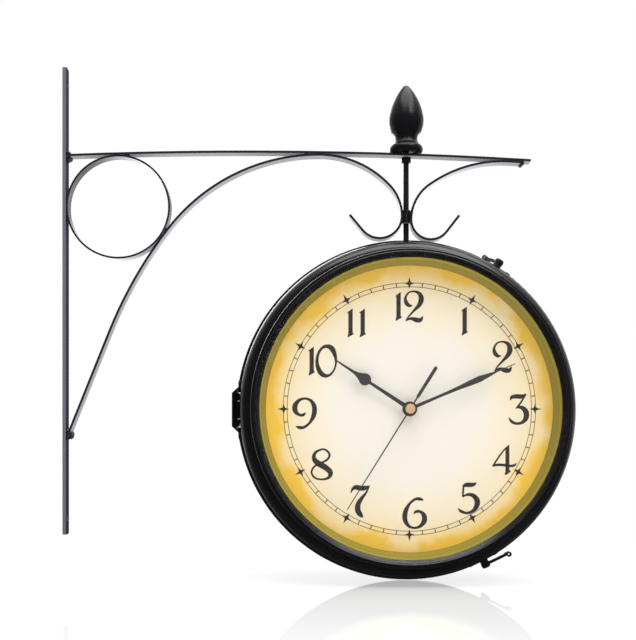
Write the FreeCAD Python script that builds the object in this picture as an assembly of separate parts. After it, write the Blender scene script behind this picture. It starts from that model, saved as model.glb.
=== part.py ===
import FreeCAD, Part
import math
import os
from FreeCAD import Vector

# Double sided station clock on a scrolled wall bracket.
# Millimetres. X points away from the wall, Z up, and the front dial faces -Y.
# The origin is on the wall, behind the wall plate, midway between its two screw holes.
# Angles on the clock are clockwise from 12, as seen by someone who faces the front dial.
# "Depth" is a distance from the seam between the case halves, towards either dial.

# --- bracket ---------------------------------------------------------------------------
HEAD_X = 247.5            # wall to the hanging rod
ARM_TIP_PAST_HEAD = 89.4  # how far the arm runs past the rod
ARM_ROOT_Z = 104.6        # arm's centre line at the wall plate
ARM_MID_RISE = 2.3        # the arm bows up by this at its middle
ARM_TIP_DROP = 3.7        # and hangs lower by this at its tip
STRIP_WIDTH = 10.0        # every strip of the bracket, front to back
ARM_THICK = 1.7
SCROLL_THICK = 1.7
RING_THICK = 1.4
PLATE_THICK = 2.5
PLATE_LENGTH = 337.0
PLATE_CORNER = 2.2
SCREW_SPACING = 314.0
SCREW_HOLE_R = 2.25
WELD_GAP = 0.05           # between strips that a weld joins
ROOT_WELD_R = 3.2         # beads at the arm's root and the long scroll's foot
RING_WELD_R = 2.0
SCROLL_WELD_R = 1.6
WELD_END = 0.6            # each bead stops this short of the strips' edges
SMALLEST_BEAD = 4.0       # mm3; thinner slivers of a bead are left off
RING_WELD_ALONG = 6.0     # from where the ring touches to its bead
BOW_WELD_BEFORE = 9.0     # from where the bow touches the arm back to its bead

# bends of the long scroll, from where it leaves the arm: (radius, degrees)
BRACE_BENDS_TO_WALL = ((137.0, 52.5), (312.0, 15.6))
BRACE_BENDS_TO_ROD = ((70.0, 47.0), (32.0, 43.0))
LEFT_CURL = (16.0, 140.0)
LEFT_TAIL = 14.5
# bends of the short scroll, from the rod up to the arm
TIP_BENDS = ((30.8, 54.7), (91.5, 38.6))
TIP_FLAT = 8.0            # length that lies along the arm
RIGHT_CURL = (14.2, 142.0)
RIGHT_TAIL = 15.0
RIGHT_SPREAD = 3.3        # rod's axis to the centre line of either scroll
GUIDE_R = 3.2             # sleeve that guides the rod between the scrolls
GUIDE_HEIGHT = 9.4

# --- rod and finial --------------------------------------------------------------------
ROD_R = 2.0
RUNNING_FIT = 0.06        # radial, wherever one piece turns in another
FIXED_FIT = 0.02          # radial, wherever a piece is screwed or pressed home
HOLE_SPARE = 0.5          # a blind hole is this much deeper than what goes in it
ROD_IN_FINIAL = 22.0
ROD_IN_CASE = 19.0
FINIAL_LIFT = 0.75        # finial's base above the arm
FINIAL_HEIGHT = 49.2
# the finial's turning, from its base up: (radius, height)
FINIAL_FOOT = (10.75, 0.0)
FINIAL_BEAD = (12.15, 2.8)
FINIAL_BEAD_TOP = (10.85, 5.7)
FINIAL_NECK = (8.1, 10.7)
FINIAL_FLARE = (10.8, 15.6)
FINIAL_EGG = (12.65, 22.4)
FINIAL_SHOULDER = (12.05, 29.0)
FINIAL_FLANK = (8.75, 38.6)
FINIAL_CAP_R = 2.6        # where the egg's flank meets its rounded point
FINIAL_CAP = 1.3
NUT_FLATS = 6.6
NUT_HEIGHT = 3.6
SWIVEL_GAP = 0.3          # lock nut below the arm
CASE_UNDER_SCROLL = 0.5   # case clears the curls by this

# --- case ------------------------------------------------------------------------------
SEAM_R = 122.5            # flange at the seam
WALL = 1.0
SEAM_GAP = 0.15           # each half stops this short of the middle plane
FLANGE_DEPTH = 2.4
FLANGE_STEP = 2.9
FLANGE_ROUND = 0.5        # how far the flange's rolled edge bulges
BAND_DEPTH = 13.0
SHOULDER_DEPTH = 21.0
SHOULDER_STEP = 5.6
SHOULDER_BULGE = 1.25     # of the round shoulder off its chord
FACE_STEP = 5.3           # shoulder's edge in to the neck that carries the bezel
DIAL_DEPTH = 27.0         # back of the dial
LEDGE = 6.0
BEZEL_WALL = 1.4
BEZEL_FOOT = 0.6          # rolled foot of the bezel, out and up
BEZEL_FOOT_RISE = 1.2
CREST_DEPTH = 46.0
CREST_IN = 3.5            # bezel's outside in to the start of its bevel
BEAD_WIDTH = 1.4          # outer bead of the bezel
BEAD_BELOW_CREST = 1.0
BEAD_BULGE = 0.45
CREST_BULGE = 0.62        # of the crest itself, which stands highest
GROOVE = 0.5              # between the outer bead and the crest
LIP_DEPTH = 41.8
LIP_REACH = 6.3           # bezel's outside in to its lip
LIP_EDGE = 0.5            # blunt edge that the bevel ends in
GLASS_THICK = 2.0
GLASS_FIT = 0.2           # around the glass in the bezel's recess
GLASS_LAP = 1.9           # how far the lip laps the glass
DIAL_THICK = 1.2
DIAL_FIT = 0.2            # around the dial
DIAL_MARGIN = 10.0        # bezel's outside in to the dial that shows
TRIM_THICK = 1.0
TRIM_WALL = 1.1           # level thickness of its cone
TRIM_FIT = 0.1            # behind the glass
LAP_REACH = 3.0           # dust lip of the rear half inside the front half
LAP_GAP = 0.35

# --- hinge at 9 o'clock ----------------------------------------------------------------
HINGE_OUT = 0.3           # hinge axis outside the seam flange
KNUCKLE_R = 2.7
HINGE_PIN_R = 1.1
HINGE_LENGTH = 24.0
MIDDLE_KNUCKLE = 13.0
KNUCKLE_GAP = 0.3
LEAF_THICK = 1.2
LEAF_RISE = 1.3           # strap's underside above the hinge axis
LEAF_FROM = 3.2           # strap starts and ends this far from the seam
LEAF_TO = 10.0
FOOT_IN = 16.0            # each foot, from the hinge's middle
FOOT_OUT = 21.5
FOOT_DROP = 0.9           # the feet lie on the band, which curves away below them
FOOT_TAPER = 0.55
LEAF_SCREW_LIFT = 0.55    # screw heads stand this far off the sloping feet
BAY_GAP = 0.6             # around the knuckles, in the seam flange
PIN_HEAD_R = 1.7
PIN_HEAD = 0.5

# --- swing hook latches ----------------------------------------------------------------
UPPER_LATCH_ANGLE = 32.0
LOWER_LATCH_ANGLE = 153.0
LATCH_DEPTH = 7.0         # pivot and pin each this far from the seam
LATCH_PLATE_LENGTH = 24.0
LATCH_PLATE_WIDTH = 7.4
LATCH_PLATE_THICK = 1.0
LATCH_PLATE_CORNER = 1.2
HOOK_LIFT = 0.9           # hook's underside above the seam flange
HOOK_THICK = 1.9
HOOK_EYE_R = 3.3
HOOK_ARM_LEFT = 1.8       # the arm's sides, from the hook's centre line
HOOK_ARM_RIGHT = 1.5
RIVET_R = 1.2
RIVET_HEAD_R = 3.0
RIVET_HEAD = 1.2
CATCH_PIN_R = 1.3
CATCH_HEAD_R = 1.9
CATCH_HEAD = 0.8
CATCH_GAP = 0.2           # under the pin's head, over the hook
HOOK_MOUTH = 0.15         # jaw's radius over the catch pin's
HOOK_PLAY = 0.12          # above and below the hook, on its rivet
HOOK_HEAD_R = 3.4
ROLL_R = 1.9              # thumb end, rolled up into a loop
ROLL_BORE_R = 0.8
ROLL_WIDTH = 4.2
ROLL_GAP = 0.3            # from the catch pin's head to the loop
UPPER_HOOK_OPEN = 30.0    # how far each hook is swung off its pin in the photograph
LOWER_HOOK_OPEN = 90.0
PLATE_SCREW_OFFSET = 9.5

# --- small screws ----------------------------------------------------------------------
SCREW_R = 1.0
SCREW_HEAD_R = 1.8
SCREW_HEAD = 0.9
SCREW_TAIL = 2.2

# --- hanger clip in the rear half ------------------------------------------------------
CLIP_WIDTH = 14.0
CLIP_THICK = 2.0
CLIP_BACK = 12.0
CLIP_WEB = 5.2
CLIP_FRONT = -5.0
CLIP_SCREW_X = 4.5
ROD_NOTCH_R = 2.6

# --- clock works -----------------------------------------------------------------------
MOVEMENT_SIZE = 56.0
MOVEMENT_THICK = 16.0
MOVEMENT_CORNER = 4.0
GASKET_THICK = 1.0
GASKET_R = 11.0
BUSH_R = 4.0
BUSH_FIT = 0.1            # around the bush in dial and gasket
BUSH_LENGTH = 4.8         # stands this far in front of the dial's back
BORE_DEPTH = 5.0
DIAL_NUT_R = 5.0
DIAL_NUT_THICK = 2.0
NUT_EDGE = 0.3
NUT_SLOT = 0.9            # width and depth of its two slots
BATTERY_R = 7.1
BATTERY_LENGTH = 49.2
BATTERY_Z = -17.5
BATTERY_NUB_R = 2.6
BATTERY_NUB = 1.2
BATTERY_GAP = 0.4
BATTERY_EDGE = 0.5
BAY_SHY = 0.6             # the cell stands out of its bay by about this
KNOB_R = 5.5
KNOB_THICK = 3.2
KNOB_GAP = 0.3            # behind the movement
KNOB_FLUTE_R = 0.6
KNOB_FLUTE_OUT = 0.2      # flutes are centred this far outside the rim
KNOB_SHAFT_IN = 4.5
KNOB_X = -14.0
KNOB_Z = 10.0
KNOB_SHAFT_R = 1.5
KNOB_FLUTES = 16

# --- hands -----------------------------------------------------------------------------
HOUR_ANGLE = 303.3
MINUTE_ANGLE = 66.8
SECOND_ANGLE = 212.0
HAND_THICK = 0.6
SECOND_THICK = 0.4
HOUR_DEPTH = 32.3         # back of the hour hand
HAND_STEP = 2.1           # from one hand's back to the next
HUB_R = 5.2
CAP_R = 3.4
CAP_THICK = 1.5
HOUR_PIPE_R = 2.5
MINUTE_PIPE_R = 1.8
SECOND_ARBOR_R = 0.6
HOUR_SHORT_OF_DIAL = 38.0
MINUTE_SHORT_OF_DIAL = 21.0
SECOND_SHORT_OF_DIAL = 18.0
HOUR_BULB_R = 4.25
HOUR_BULB_FROM_TIP = 24.9
SECOND_TAIL = 34.2

# --- sizes that follow -----------------------------------------------------------------
BAND_R = SEAM_R - FLANGE_STEP
SHOULDER_R = BAND_R - SHOULDER_STEP
NECK_R = SHOULDER_R - FACE_STEP
BEZEL_R = NECK_R + FIXED_FIT + BEZEL_WALL
LIP_R = BEZEL_R - LIP_REACH
DIAL_VIEW_R = BEZEL_R - DIAL_MARGIN
DIAL_R = NECK_R - DIAL_FIT
DIAL_FRONT = DIAL_DEPTH + DIAL_THICK
GLASS_FRONT = LIP_DEPTH - GLASS_FIT
GLASS_BACK = GLASS_FRONT - GLASS_THICK
GLASS_R = LIP_R + GLASS_LAP
HINGE_R = SEAM_R + HINGE_OUT
HOOK_R = SEAM_R + HOOK_LIFT
ARM_TIP_X = HEAD_X + ARM_TIP_PAST_HEAD
MINUTE_DEPTH = HOUR_DEPTH + HAND_STEP
SECOND_DEPTH = MINUTE_DEPTH + HAND_STEP
MOVEMENT_FRONT = DIAL_DEPTH - GASKET_THICK
MOVEMENT_BACK = MOVEMENT_FRONT - MOVEMENT_THICK
CLIP_SCREW_ANGLE = math.degrees(math.asin(CLIP_SCREW_X / BAND_R))
CLIP_SCREW_DEPTH = (CLIP_WEB + CLIP_THICK + CLIP_BACK) / 2
PLATE_SCREW_ANGLE = math.degrees(math.asin(PLATE_SCREW_OFFSET / BAND_R))
FOOT_SCREW_ANGLE = math.degrees(math.asin((FOOT_IN + FOOT_OUT + 1.0) / 2 / BAND_R))
LEAF_MID = (LEAF_FROM + LEAF_TO) / 2
PLATE_TOP = BAND_R + FIXED_FIT + LATCH_PLATE_THICK

FRONT = -1
REAR = 1
Y_AXIS = Vector(0, 1, 0)
Z_AXIS = Vector(0, 0, 1)
OFF = Vector(0, 0, 0)


# --- shapes from outlines --------------------------------------------------------------
def outline(start, steps, at):
    """A face from an outline. A step is a corner, or (a point on the way, the end) of an arc."""
    edges = []
    here = start
    for step in steps + (start,):
        is_arc = isinstance(step[0], tuple)
        end = step[1] if is_arc else step
        if is_arc:
            edges.append(Part.Arc(at(*here), at(*step[0]), at(*end)).toShape())
        elif end != here:
            edges.append(Part.LineSegment(at(*here), at(*end)).toShape())
        here = end
    return Part.Face(Part.Wire(edges))


def bulged(start, end, bulge):
    """An arc step to `end` that stands off its chord's middle, to the right of the way it runs."""
    run = (end[0] - start[0], end[1] - start[1])
    length = math.hypot(*run)
    middle = ((start[0] + end[0]) / 2 + run[1] / length * bulge,
              (start[1] + end[1]) / 2 - run[0] / length * bulge)
    return (middle, end)


def outward(shape):
    """The solid with its faces pointing out."""
    solid = shape.Solids[0] if shape.Solids else Part.Solid(shape.Shells[0])
    if solid.Volume < 0:
        solid.reverse()
    return solid


def turned(start, *steps):
    """A front piece turned about the clock's axis, from an outline of (radius, depth)."""
    face = outline(start, steps, lambda radius, depth: Vector(radius, -depth, 0))
    return outward(face.revolve(OFF, Y_AXIS, 360))


def side_cut(start, steps, y_from, y_to):
    """A piece cut from plate that lies in the bracket's plane, from an outline of (x, z)."""
    face = outline(start, steps, lambda x, z: Vector(x, y_from, z))
    return outward(face.extrude(Vector(0, y_to - y_from, 0)))


def block(x_from, x_to, y_from, y_to, z_from, z_to):
    corner = Vector(x_from, y_from, z_from)
    return Part.makeBox(x_to - x_from, y_to - y_from, z_to - z_from, corner)


def rod_z(radius, z_from, z_to, x=0.0, y=0.0):
    return Part.makeCylinder(radius, z_to - z_from, Vector(x, y, z_from), Z_AXIS)


def rod_y(radius, y_from, y_to, x=0.0, z=0.0):
    return Part.makeCylinder(radius, y_to - y_from, Vector(x, y_from, z), Y_AXIS)


def rod_x(radius, x_from, x_to, y=0.0, z=0.0):
    return Part.makeCylinder(radius, x_to - x_from, Vector(x_from, y, z), Vector(1, 0, 0))


def joined(first, *others):
    whole = first.fuse(list(others)) if others else first
    return whole.removeSplitter()


def hex_bar(flats, z_from, z_to):
    corners = [Vector(flats / math.sqrt(3) * math.cos(math.radians(60 * i + 30)),
                      flats / math.sqrt(3) * math.sin(math.radians(60 * i + 30)), z_from)
               for i in range(7)]
    return Part.Face(Part.makePolygon(corners)).extrude(Vector(0, 0, z_to - z_from))


# --- places on the clock ---------------------------------------------------------------
def at_angle(shape, angle):
    """Turns a piece from 12 o'clock to its angle on the clock."""
    turned_copy = shape.copy()
    turned_copy.rotate(OFF, Y_AXIS, angle)
    return turned_copy


def on_side(shape, side):
    """The rear half's copy of a front piece is the same piece, turned to face the other way."""
    copy = shape.copy()
    if side == REAR:
        copy.rotate(OFF, Z_AXIS, 180)
    return copy


def to_clock(shape):
    moved = shape.copy()
    moved.translate(Vector(HEAD_X, 0, CASE_Z))
    return moved


# --- strips bent on edge ---------------------------------------------------------------
def pose_after(pose, length, radius, turn):
    """(x, z, heading) after a straight run, or after an arc that turns left by `turn` degrees."""
    x, z, heading = pose
    if turn == 0:
        angle = math.radians(heading)
        return (x + length * math.cos(angle), z + length * math.sin(angle), heading)
    side = math.copysign(1, turn)
    start = math.radians(heading)
    end = math.radians(heading + turn)
    x += side * radius * (math.sin(end) - math.sin(start))
    z -= side * radius * (math.cos(end) - math.cos(start))
    return (x, z, heading + turn)


def walk(pose, segments):
    """The poses along a strip's centre line: (start, middle, end, turn) of each segment."""
    stations = []
    for size, turn in segments:
        middle = pose_after(pose, size / 2, size, turn / 2)
        end = pose_after(pose, size, size, turn)
        stations.append((pose, middle, end, turn))
        pose = end
    return stations


def beside(pose, offset):
    x, z, heading = pose
    angle = math.radians(heading)
    return Vector(x - offset * math.sin(angle), -STRIP_WIDTH / 2, z + offset * math.cos(angle))


def bent_strip(pose, segments, thickness):
    """A strip bent along straight runs (length, 0) and tangent arcs (radius, degrees)."""
    edges = []
    stations = walk(pose, segments)
    for offset in (thickness / 2, -thickness / 2):
        for start, middle, end, turn in stations:
            points = [beside(place, offset) for place in (start, middle, end)]
            if turn:
                edges.append(Part.Arc(*points).toShape())
            else:
                edges.append(Part.LineSegment(points[0], points[2]).toShape())
    for place in (stations[0][0], stations[-1][2]):
        ends = (beside(place, thickness / 2), beside(place, -thickness / 2))
        edges.append(Part.LineSegment(*ends).toShape())
    face = Part.Face(Part.Wire(Part.__sortEdges__(edges)))
    return outward(face.extrude(Vector(0, STRIP_WIDTH, 0)))


# --- bracket ---------------------------------------------------------------------------
def arm_circle():
    """Centre and radius of the arm's bow, through its root, middle and tip."""
    root = Vector(PLATE_THICK, 0, ARM_ROOT_Z)
    middle_x = (PLATE_THICK + ARM_TIP_X) / 2
    middle = Vector(middle_x, 0, ARM_ROOT_Z + ARM_MID_RISE)
    tip = Vector(ARM_TIP_X, 0, ARM_ROOT_Z - ARM_TIP_DROP)
    bow = Part.Arc(root, middle, tip).toShape().Curve
    return bow.Center, bow.Radius


ARM_CENTRE, ARM_BOW = arm_circle()


def arm_z(x, offset=0.0):
    """Height of the arm's centre line, or of a line beside it, at x."""
    radius = ARM_BOW + offset
    return ARM_CENTRE.z + math.sqrt(radius ** 2 - (x - ARM_CENTRE.x) ** 2)


def arm_heading(x):
    return -math.degrees(math.asin((x - ARM_CENTRE.x) / ARM_BOW))


def wall_plate():
    """Flat bar with rounded corners and a screw hole near each end."""
    half = STRIP_WIDTH / 2
    plate = block(0, PLATE_THICK, -half, half, -PLATE_LENGTH / 2, PLATE_LENGTH / 2)
    corners = [e for e in plate.Edges if abs(e.Length - PLATE_THICK) < FIXED_FIT]
    plate = plate.makeFillet(PLATE_CORNER, corners)
    for z in (-SCREW_SPACING / 2, SCREW_SPACING / 2):
        plate = plate.cut(rod_x(SCREW_HOLE_R, -1, PLATE_THICK + 1, z=z))
    return plate


def arm():
    """Bowed flat bar from the wall plate to past the rod, with a hole that the rod turns in."""
    half = ARM_THICK / 2
    middle_x = (PLATE_THICK + ARM_TIP_X) / 2
    root_x = PLATE_THICK
    bar = side_cut((root_x, arm_z(root_x, half)),
                   (((middle_x, arm_z(middle_x, half)), (ARM_TIP_X, arm_z(ARM_TIP_X, half))),
                    (ARM_TIP_X, arm_z(ARM_TIP_X, -half)),
                    ((middle_x, arm_z(middle_x, -half)), (root_x, arm_z(root_x, -half)))),
                   -STRIP_WIDTH / 2, STRIP_WIDTH / 2)
    hole = rod_z(ROD_R + RUNNING_FIT, ARM_ROOT_Z - 20, ARM_ROOT_Z + 20, x=HEAD_X)
    return bar.cut(hole)


def under_arm(x):
    """Centre line of a scroll strip that lies against the arm's underside."""
    return arm_z(x, -(ARM_THICK + SCROLL_THICK) / 2 - WELD_GAP)


def turns(bends, way):
    return [(radius, way * degrees) for radius, degrees in bends]


def brace_path():
    """Start pose at the wall and the segments of the long scroll: brace, bow and left curl."""
    to_rod = turns(BRACE_BENDS_TO_ROD, -1)
    reach = walk((0.0, 0.0, 0.0), to_rod)[-1][2][0]
    touch_x = HEAD_X - RIGHT_SPREAD - reach
    touch = (touch_x, under_arm(touch_x), 180.0)
    back = walk(touch, turns(BRACE_BENDS_TO_WALL, 1))[-1][2]
    slope = math.radians(back[2])
    foot_x = PLATE_THICK + WELD_GAP + SCROLL_THICK / 2 * abs(math.sin(slope))
    straight = (foot_x - back[0]) / math.cos(slope)
    foot = pose_after(back, straight, 0, 0)
    start = (foot[0], foot[1], foot[2] - 180.0)
    segments = [(straight, 0)] + turns(reversed(BRACE_BENDS_TO_WALL), -1) + to_rod
    segments += turns((LEFT_CURL,), -1) + [(LEFT_TAIL, 0)]
    return start, segments


def tip_path():
    """Start pose at the arm's tip and the segments of the short scroll down to its curl."""
    climb = walk((0.0, 0.0, 90.0), turns(TIP_BENDS, -1))[-1][2]
    top_x = HEAD_X + RIGHT_SPREAD + climb[0]
    top = (top_x, under_arm(top_x), climb[2])
    tip = pose_after(top, TIP_FLAT, 0, 0)
    start = (tip[0], tip[1], tip[2] + 180.0)
    segments = [(TIP_FLAT, 0)] + turns(reversed(TIP_BENDS), 1)
    segments += turns((RIGHT_CURL,), 1) + [(RIGHT_TAIL, 0)]
    return start, segments


BRACE_START, BRACE_SEGMENTS = brace_path()
TIP_START, TIP_SEGMENTS = tip_path()
BRACE_STATIONS = walk(BRACE_START, BRACE_SEGMENTS)
TIP_STATIONS = walk(TIP_START, TIP_SEGMENTS)
BESIDE_ROD_Z = max(BRACE_STATIONS[4][2][1], TIP_STATIONS[2][2][1])
CURL_BOTTOM = min(BRACE_STATIONS[4][2][1] - LEFT_CURL[0],
                  TIP_STATIONS[2][2][1] - RIGHT_CURL[0]) - SCROLL_THICK / 2
CURL_REACH = RIGHT_SPREAD + RIGHT_CURL[0]
CASE_Z = CURL_BOTTOM - CASE_UNDER_SCROLL - math.sqrt(SEAM_R ** 2 - CURL_REACH ** 2)
CASE_TOP = CASE_Z + SEAM_R


def brace_scroll():
    return bent_strip(BRACE_START, BRACE_SEGMENTS, SCROLL_THICK)


def tip_scroll():
    return bent_strip(TIP_START, TIP_SEGMENTS, SCROLL_THICK)


def ring_circle(brace):
    """Centre and radius of the circle that touches the plate, the arm and the brace."""
    small, large = 5.0, HEAD_X / 3
    for _ in range(40):
        radius = (small + large) / 2
        x = PLATE_THICK + WELD_GAP + radius
        z = arm_z(x, -ARM_THICK / 2 - WELD_GAP) - radius
        gap = brace.distToShape(Part.Vertex(x, 0, z))[0] - radius - WELD_GAP
        small, large = (radius, large) if gap > 0 else (small, radius)
    return x, z, radius


def ring(x, z, radius):
    half = STRIP_WIDTH / 2
    outside = rod_y(radius, -half, half, x=x, z=z)
    return outside.cut(rod_y(radius - RING_THICK, -half - 1, half + 1, x=x, z=z))


def rod_guide(scrolls):
    """Short sleeve between the two scrolls, welded to both, that the rod turns in."""
    low = BESIDE_ROD_Z - GUIDE_HEIGHT / 2
    sleeve = rod_z(GUIDE_R, low, low + GUIDE_HEIGHT, x=HEAD_X)
    sleeve = sleeve.cut(rod_z(ROD_R + RUNNING_FIT, low - 1, low + GUIDE_HEIGHT + 1, x=HEAD_X))
    return sleeve.cut(scrolls)


def welds(pieces, ring_x, ring_z, disc):
    """Beads in the corners where the strips meet, cut to the strips they join and to the wall."""
    crown_x = ring_x + RING_WELD_ALONG
    brace = pieces[2]
    touch = disc.distToShape(brace)[1][0][1]
    from_ring = Vector(touch.x - ring_x, 0, touch.z - ring_z).normalize()
    beside = Vector(touch.x, 0, touch.z) + from_ring.cross(Y_AXIS) * RING_WELD_ALONG
    bow_x = BRACE_STATIONS[2][2][0] - BOW_WELD_BEFORE
    arm_under = -ARM_THICK / 2
    beads = [(PLATE_THICK, ARM_ROOT_Z, ROOT_WELD_R),
             (PLATE_THICK + RING_WELD_R / 3, ring_z + RING_WELD_ALONG, RING_WELD_R),
             (crown_x, arm_z(crown_x, arm_under - RING_WELD_R / 5), RING_WELD_R),
             (PLATE_THICK + ROOT_WELD_R / 4, BRACE_START[1] + ROOT_WELD_R / 2, ROOT_WELD_R),
             (bow_x, arm_z(bow_x, arm_under - SCROLL_WELD_R / 4), SCROLL_WELD_R),
             (TIP_START[0] + SCROLL_WELD_R / 3, arm_z(TIP_START[0], arm_under - SCROLL_WELD_R / 2),
              SCROLL_WELD_R),
             (beside.x, beside.z, RING_WELD_R)]
    wall = block(-2 * ROOT_WELD_R, 0, -STRIP_WIDTH, STRIP_WIDTH, -PLATE_LENGTH, PLATE_LENGTH)
    found = []
    length = STRIP_WIDTH / 2 - WELD_END
    for x, z, radius in beads:
        bead = rod_y(radius, -length, length, x=x, z=z)
        found += [s for s in bead.cut(pieces + [disc, wall]).Solids if s.Volume > SMALLEST_BEAD]
    return Part.makeCompound(found)


# --- hanging rod -----------------------------------------------------------------------
FINIAL_Z = arm_z(HEAD_X, ARM_THICK / 2) + FINIAL_LIFT


def hanger_rod():
    return rod_z(ROD_R, CASE_TOP - ROD_IN_CASE, FINIAL_Z + ROD_IN_FINIAL, x=HEAD_X)


def finial():
    """Turned knob: round base bead, waist, and an egg that draws in to a blunt point."""
    ball = (FINIAL_CAP_R ** 2 + FINIAL_CAP ** 2) / (2 * FINIAL_CAP)
    half_angle = math.asin(FINIAL_CAP_R / ball) / 2
    cap_mid = (ball * math.sin(half_angle), FINIAL_HEIGHT - ball + ball * math.cos(half_angle))
    cap_edge = (FINIAL_CAP_R, FINIAL_HEIGHT - FINIAL_CAP)
    profile = outline((0.0, 0.0),
                      (FINIAL_FOOT,
                       (FINIAL_BEAD, FINIAL_BEAD_TOP),
                       (FINIAL_NECK, FINIAL_FLARE),
                       (FINIAL_EGG, FINIAL_SHOULDER),
                       (FINIAL_FLANK, cap_edge),
                       (cap_mid, (0.0, FINIAL_HEIGHT))),
                      lambda radius, z: Vector(radius, 0, z))
    knob = outward(profile.revolve(OFF, Z_AXIS, 360))
    knob = knob.cut(rod_z(ROD_R + FIXED_FIT, -1, ROD_IN_FINIAL + HOLE_SPARE))
    knob.translate(Vector(HEAD_X, 0, FINIAL_Z))
    return knob


def nut(z_from):
    """Hexagon nut on the hanging rod."""
    body = hex_bar(NUT_FLATS, z_from, z_from + NUT_HEIGHT)
    body = body.cut(rod_z(ROD_R + FIXED_FIT, z_from - 1, z_from + NUT_HEIGHT + 1))
    body.translate(Vector(HEAD_X, 0, 0))
    return body


CLIP_Z = CASE_TOP - ROD_IN_CASE + NUT_HEIGHT + 1.2


def swivel_nut():
    low_side = arm_z(HEAD_X + NUT_FLATS, -ARM_THICK / 2)
    return nut(low_side - SWIVEL_GAP - NUT_HEIGHT)


def clip_nuts():
    below = nut(CLIP_Z - NUT_HEIGHT - FIXED_FIT)
    above = nut(CLIP_Z + CLIP_THICK + FIXED_FIT)
    return Part.makeCompound([below, above])


def hanger_clip():
    """Bent strip inside the rear half: screwed to the case wall, bored for the rod."""
    seat = BAND_R - WALL - FIXED_FIT
    low = CLIP_Z - CASE_Z
    web_back = CLIP_WEB + CLIP_THICK
    shape = outline((CLIP_FRONT, low),
                    ((web_back, low),
                     (web_back, seat - CLIP_THICK - 0.4),
                     (CLIP_BACK, seat - CLIP_THICK - 0.4),
                     (CLIP_BACK, seat + 1),
                     (CLIP_WEB, seat + 1),
                     (CLIP_WEB, low + CLIP_THICK),
                     (CLIP_FRONT, low + CLIP_THICK)),
                    lambda y, z: Vector(-CLIP_WIDTH / 2, y, z))
    clip = outward(shape.extrude(Vector(CLIP_WIDTH, 0, 0)))
    clip = clip.common(rod_y(seat, -20, 20))
    clip = clip.cut(rod_z(ROD_R + FIXED_FIT, low - 1, low + CLIP_THICK + 1))
    for angle in (-CLIP_SCREW_ANGLE, CLIP_SCREW_ANGLE):
        clip = clip.cut(radial_hole(angle, REAR * CLIP_SCREW_DEPTH))
    return to_clock(clip)


# --- screws that point at the clock's axis ---------------------------------------------
def radial_hole(angle, y):
    return at_angle(rod_z(SCREW_R + FIXED_FIT, NECK_R, SEAM_R + 5, y=y), angle)


def radial_screw(angle, y, seat):
    """Pan-headed screw whose head sits at this radius."""
    head = rod_z(SCREW_HEAD_R, seat, seat + SCREW_HEAD, y=y)
    head = head.makeChamfer(SCREW_HEAD * 0.45, [head.Edges[0]])
    shank = rod_z(SCREW_R, BAND_R - WALL - SCREW_TAIL, seat + SCREW_HEAD / 2, y=y)
    return at_angle(joined(head, shank), angle)


def screw_places(side):
    """(angle, y) of each screw through one case half."""
    places = []
    for latch in (UPPER_LATCH_ANGLE, LOWER_LATCH_ANGLE):
        places += [(latch - PLATE_SCREW_ANGLE, side * LATCH_DEPTH),
                   (latch + PLATE_SCREW_ANGLE, side * LATCH_DEPTH)]
    places += [(-90 - FOOT_SCREW_ANGLE, side * LEAF_MID), (-90 + FOOT_SCREW_ANGLE, side * LEAF_MID)]
    if side == REAR:
        places += [(-CLIP_SCREW_ANGLE, CLIP_SCREW_DEPTH), (CLIP_SCREW_ANGLE, CLIP_SCREW_DEPTH)]
    return places


def latch_screws(side):
    screws = [radial_screw(angle, y, PLATE_TOP + FIXED_FIT) for angle, y in screw_places(side)[:4]]
    return to_clock(Part.makeCompound(screws))


def hinge_screws(side):
    seat = BAND_R + LEAF_THICK + LEAF_SCREW_LIFT
    screws = [radial_screw(angle, y, seat) for angle, y in screw_places(side)[4:6]]
    return to_clock(Part.makeCompound(screws))


def clip_screws():
    screws = [radial_screw(angle, y, BAND_R + 0.05) for angle, y in screw_places(REAR)[6:]]
    return to_clock(Part.makeCompound(screws))


# --- case ------------------------------------------------------------------------------
def case_half(side):
    """Pressed pan: seam flange, plain band, round shoulder, flat face and bezel neck."""
    inside = BAND_R - WALL
    rim = SEAM_R - FLANGE_ROUND
    band_edge = (BAND_R, BAND_DEPTH)
    inner_edge = (SHOULDER_R - WALL / 2, SHOULDER_DEPTH - WALL)
    pan = turned((inside, SEAM_GAP),
                 (rim, SEAM_GAP),
                 ((SEAM_R, FLANGE_DEPTH / 2), (rim, FLANGE_DEPTH)),
                 (BAND_R, FLANGE_DEPTH),
                 band_edge,
                 bulged(band_edge, (SHOULDER_R, SHOULDER_DEPTH), SHOULDER_BULGE),
                 (NECK_R, SHOULDER_DEPTH),
                 (NECK_R, DIAL_DEPTH),
                 (NECK_R - LEDGE, DIAL_DEPTH),
                 (NECK_R - LEDGE, DIAL_DEPTH - WALL),
                 (NECK_R - WALL, DIAL_DEPTH - WALL),
                 (NECK_R - WALL, SHOULDER_DEPTH - WALL),
                 inner_edge,
                 bulged(inner_edge, (inside, BAND_DEPTH), -SHOULDER_BULGE))
    pan = on_side(pan, side)
    if side == REAR:
        pan = joined(pan, dust_lip())
    reach = side * (LEAF_FROM + 1)
    hinge_bay = block(-HINGE_LENGTH / 2 - BAY_GAP, HINGE_LENGTH / 2 + BAY_GAP,
                      min(0, reach), max(0, reach), BAND_R, SEAM_R + 2)
    pan = pan.cut(at_angle(hinge_bay, -90))
    pan = pan.cut(rod_z(ROD_NOTCH_R, SHOULDER_R, SEAM_R + 2))
    for angle, y in screw_places(side):
        pan = pan.cut(radial_hole(angle, y))
    return to_clock(pan)


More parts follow.
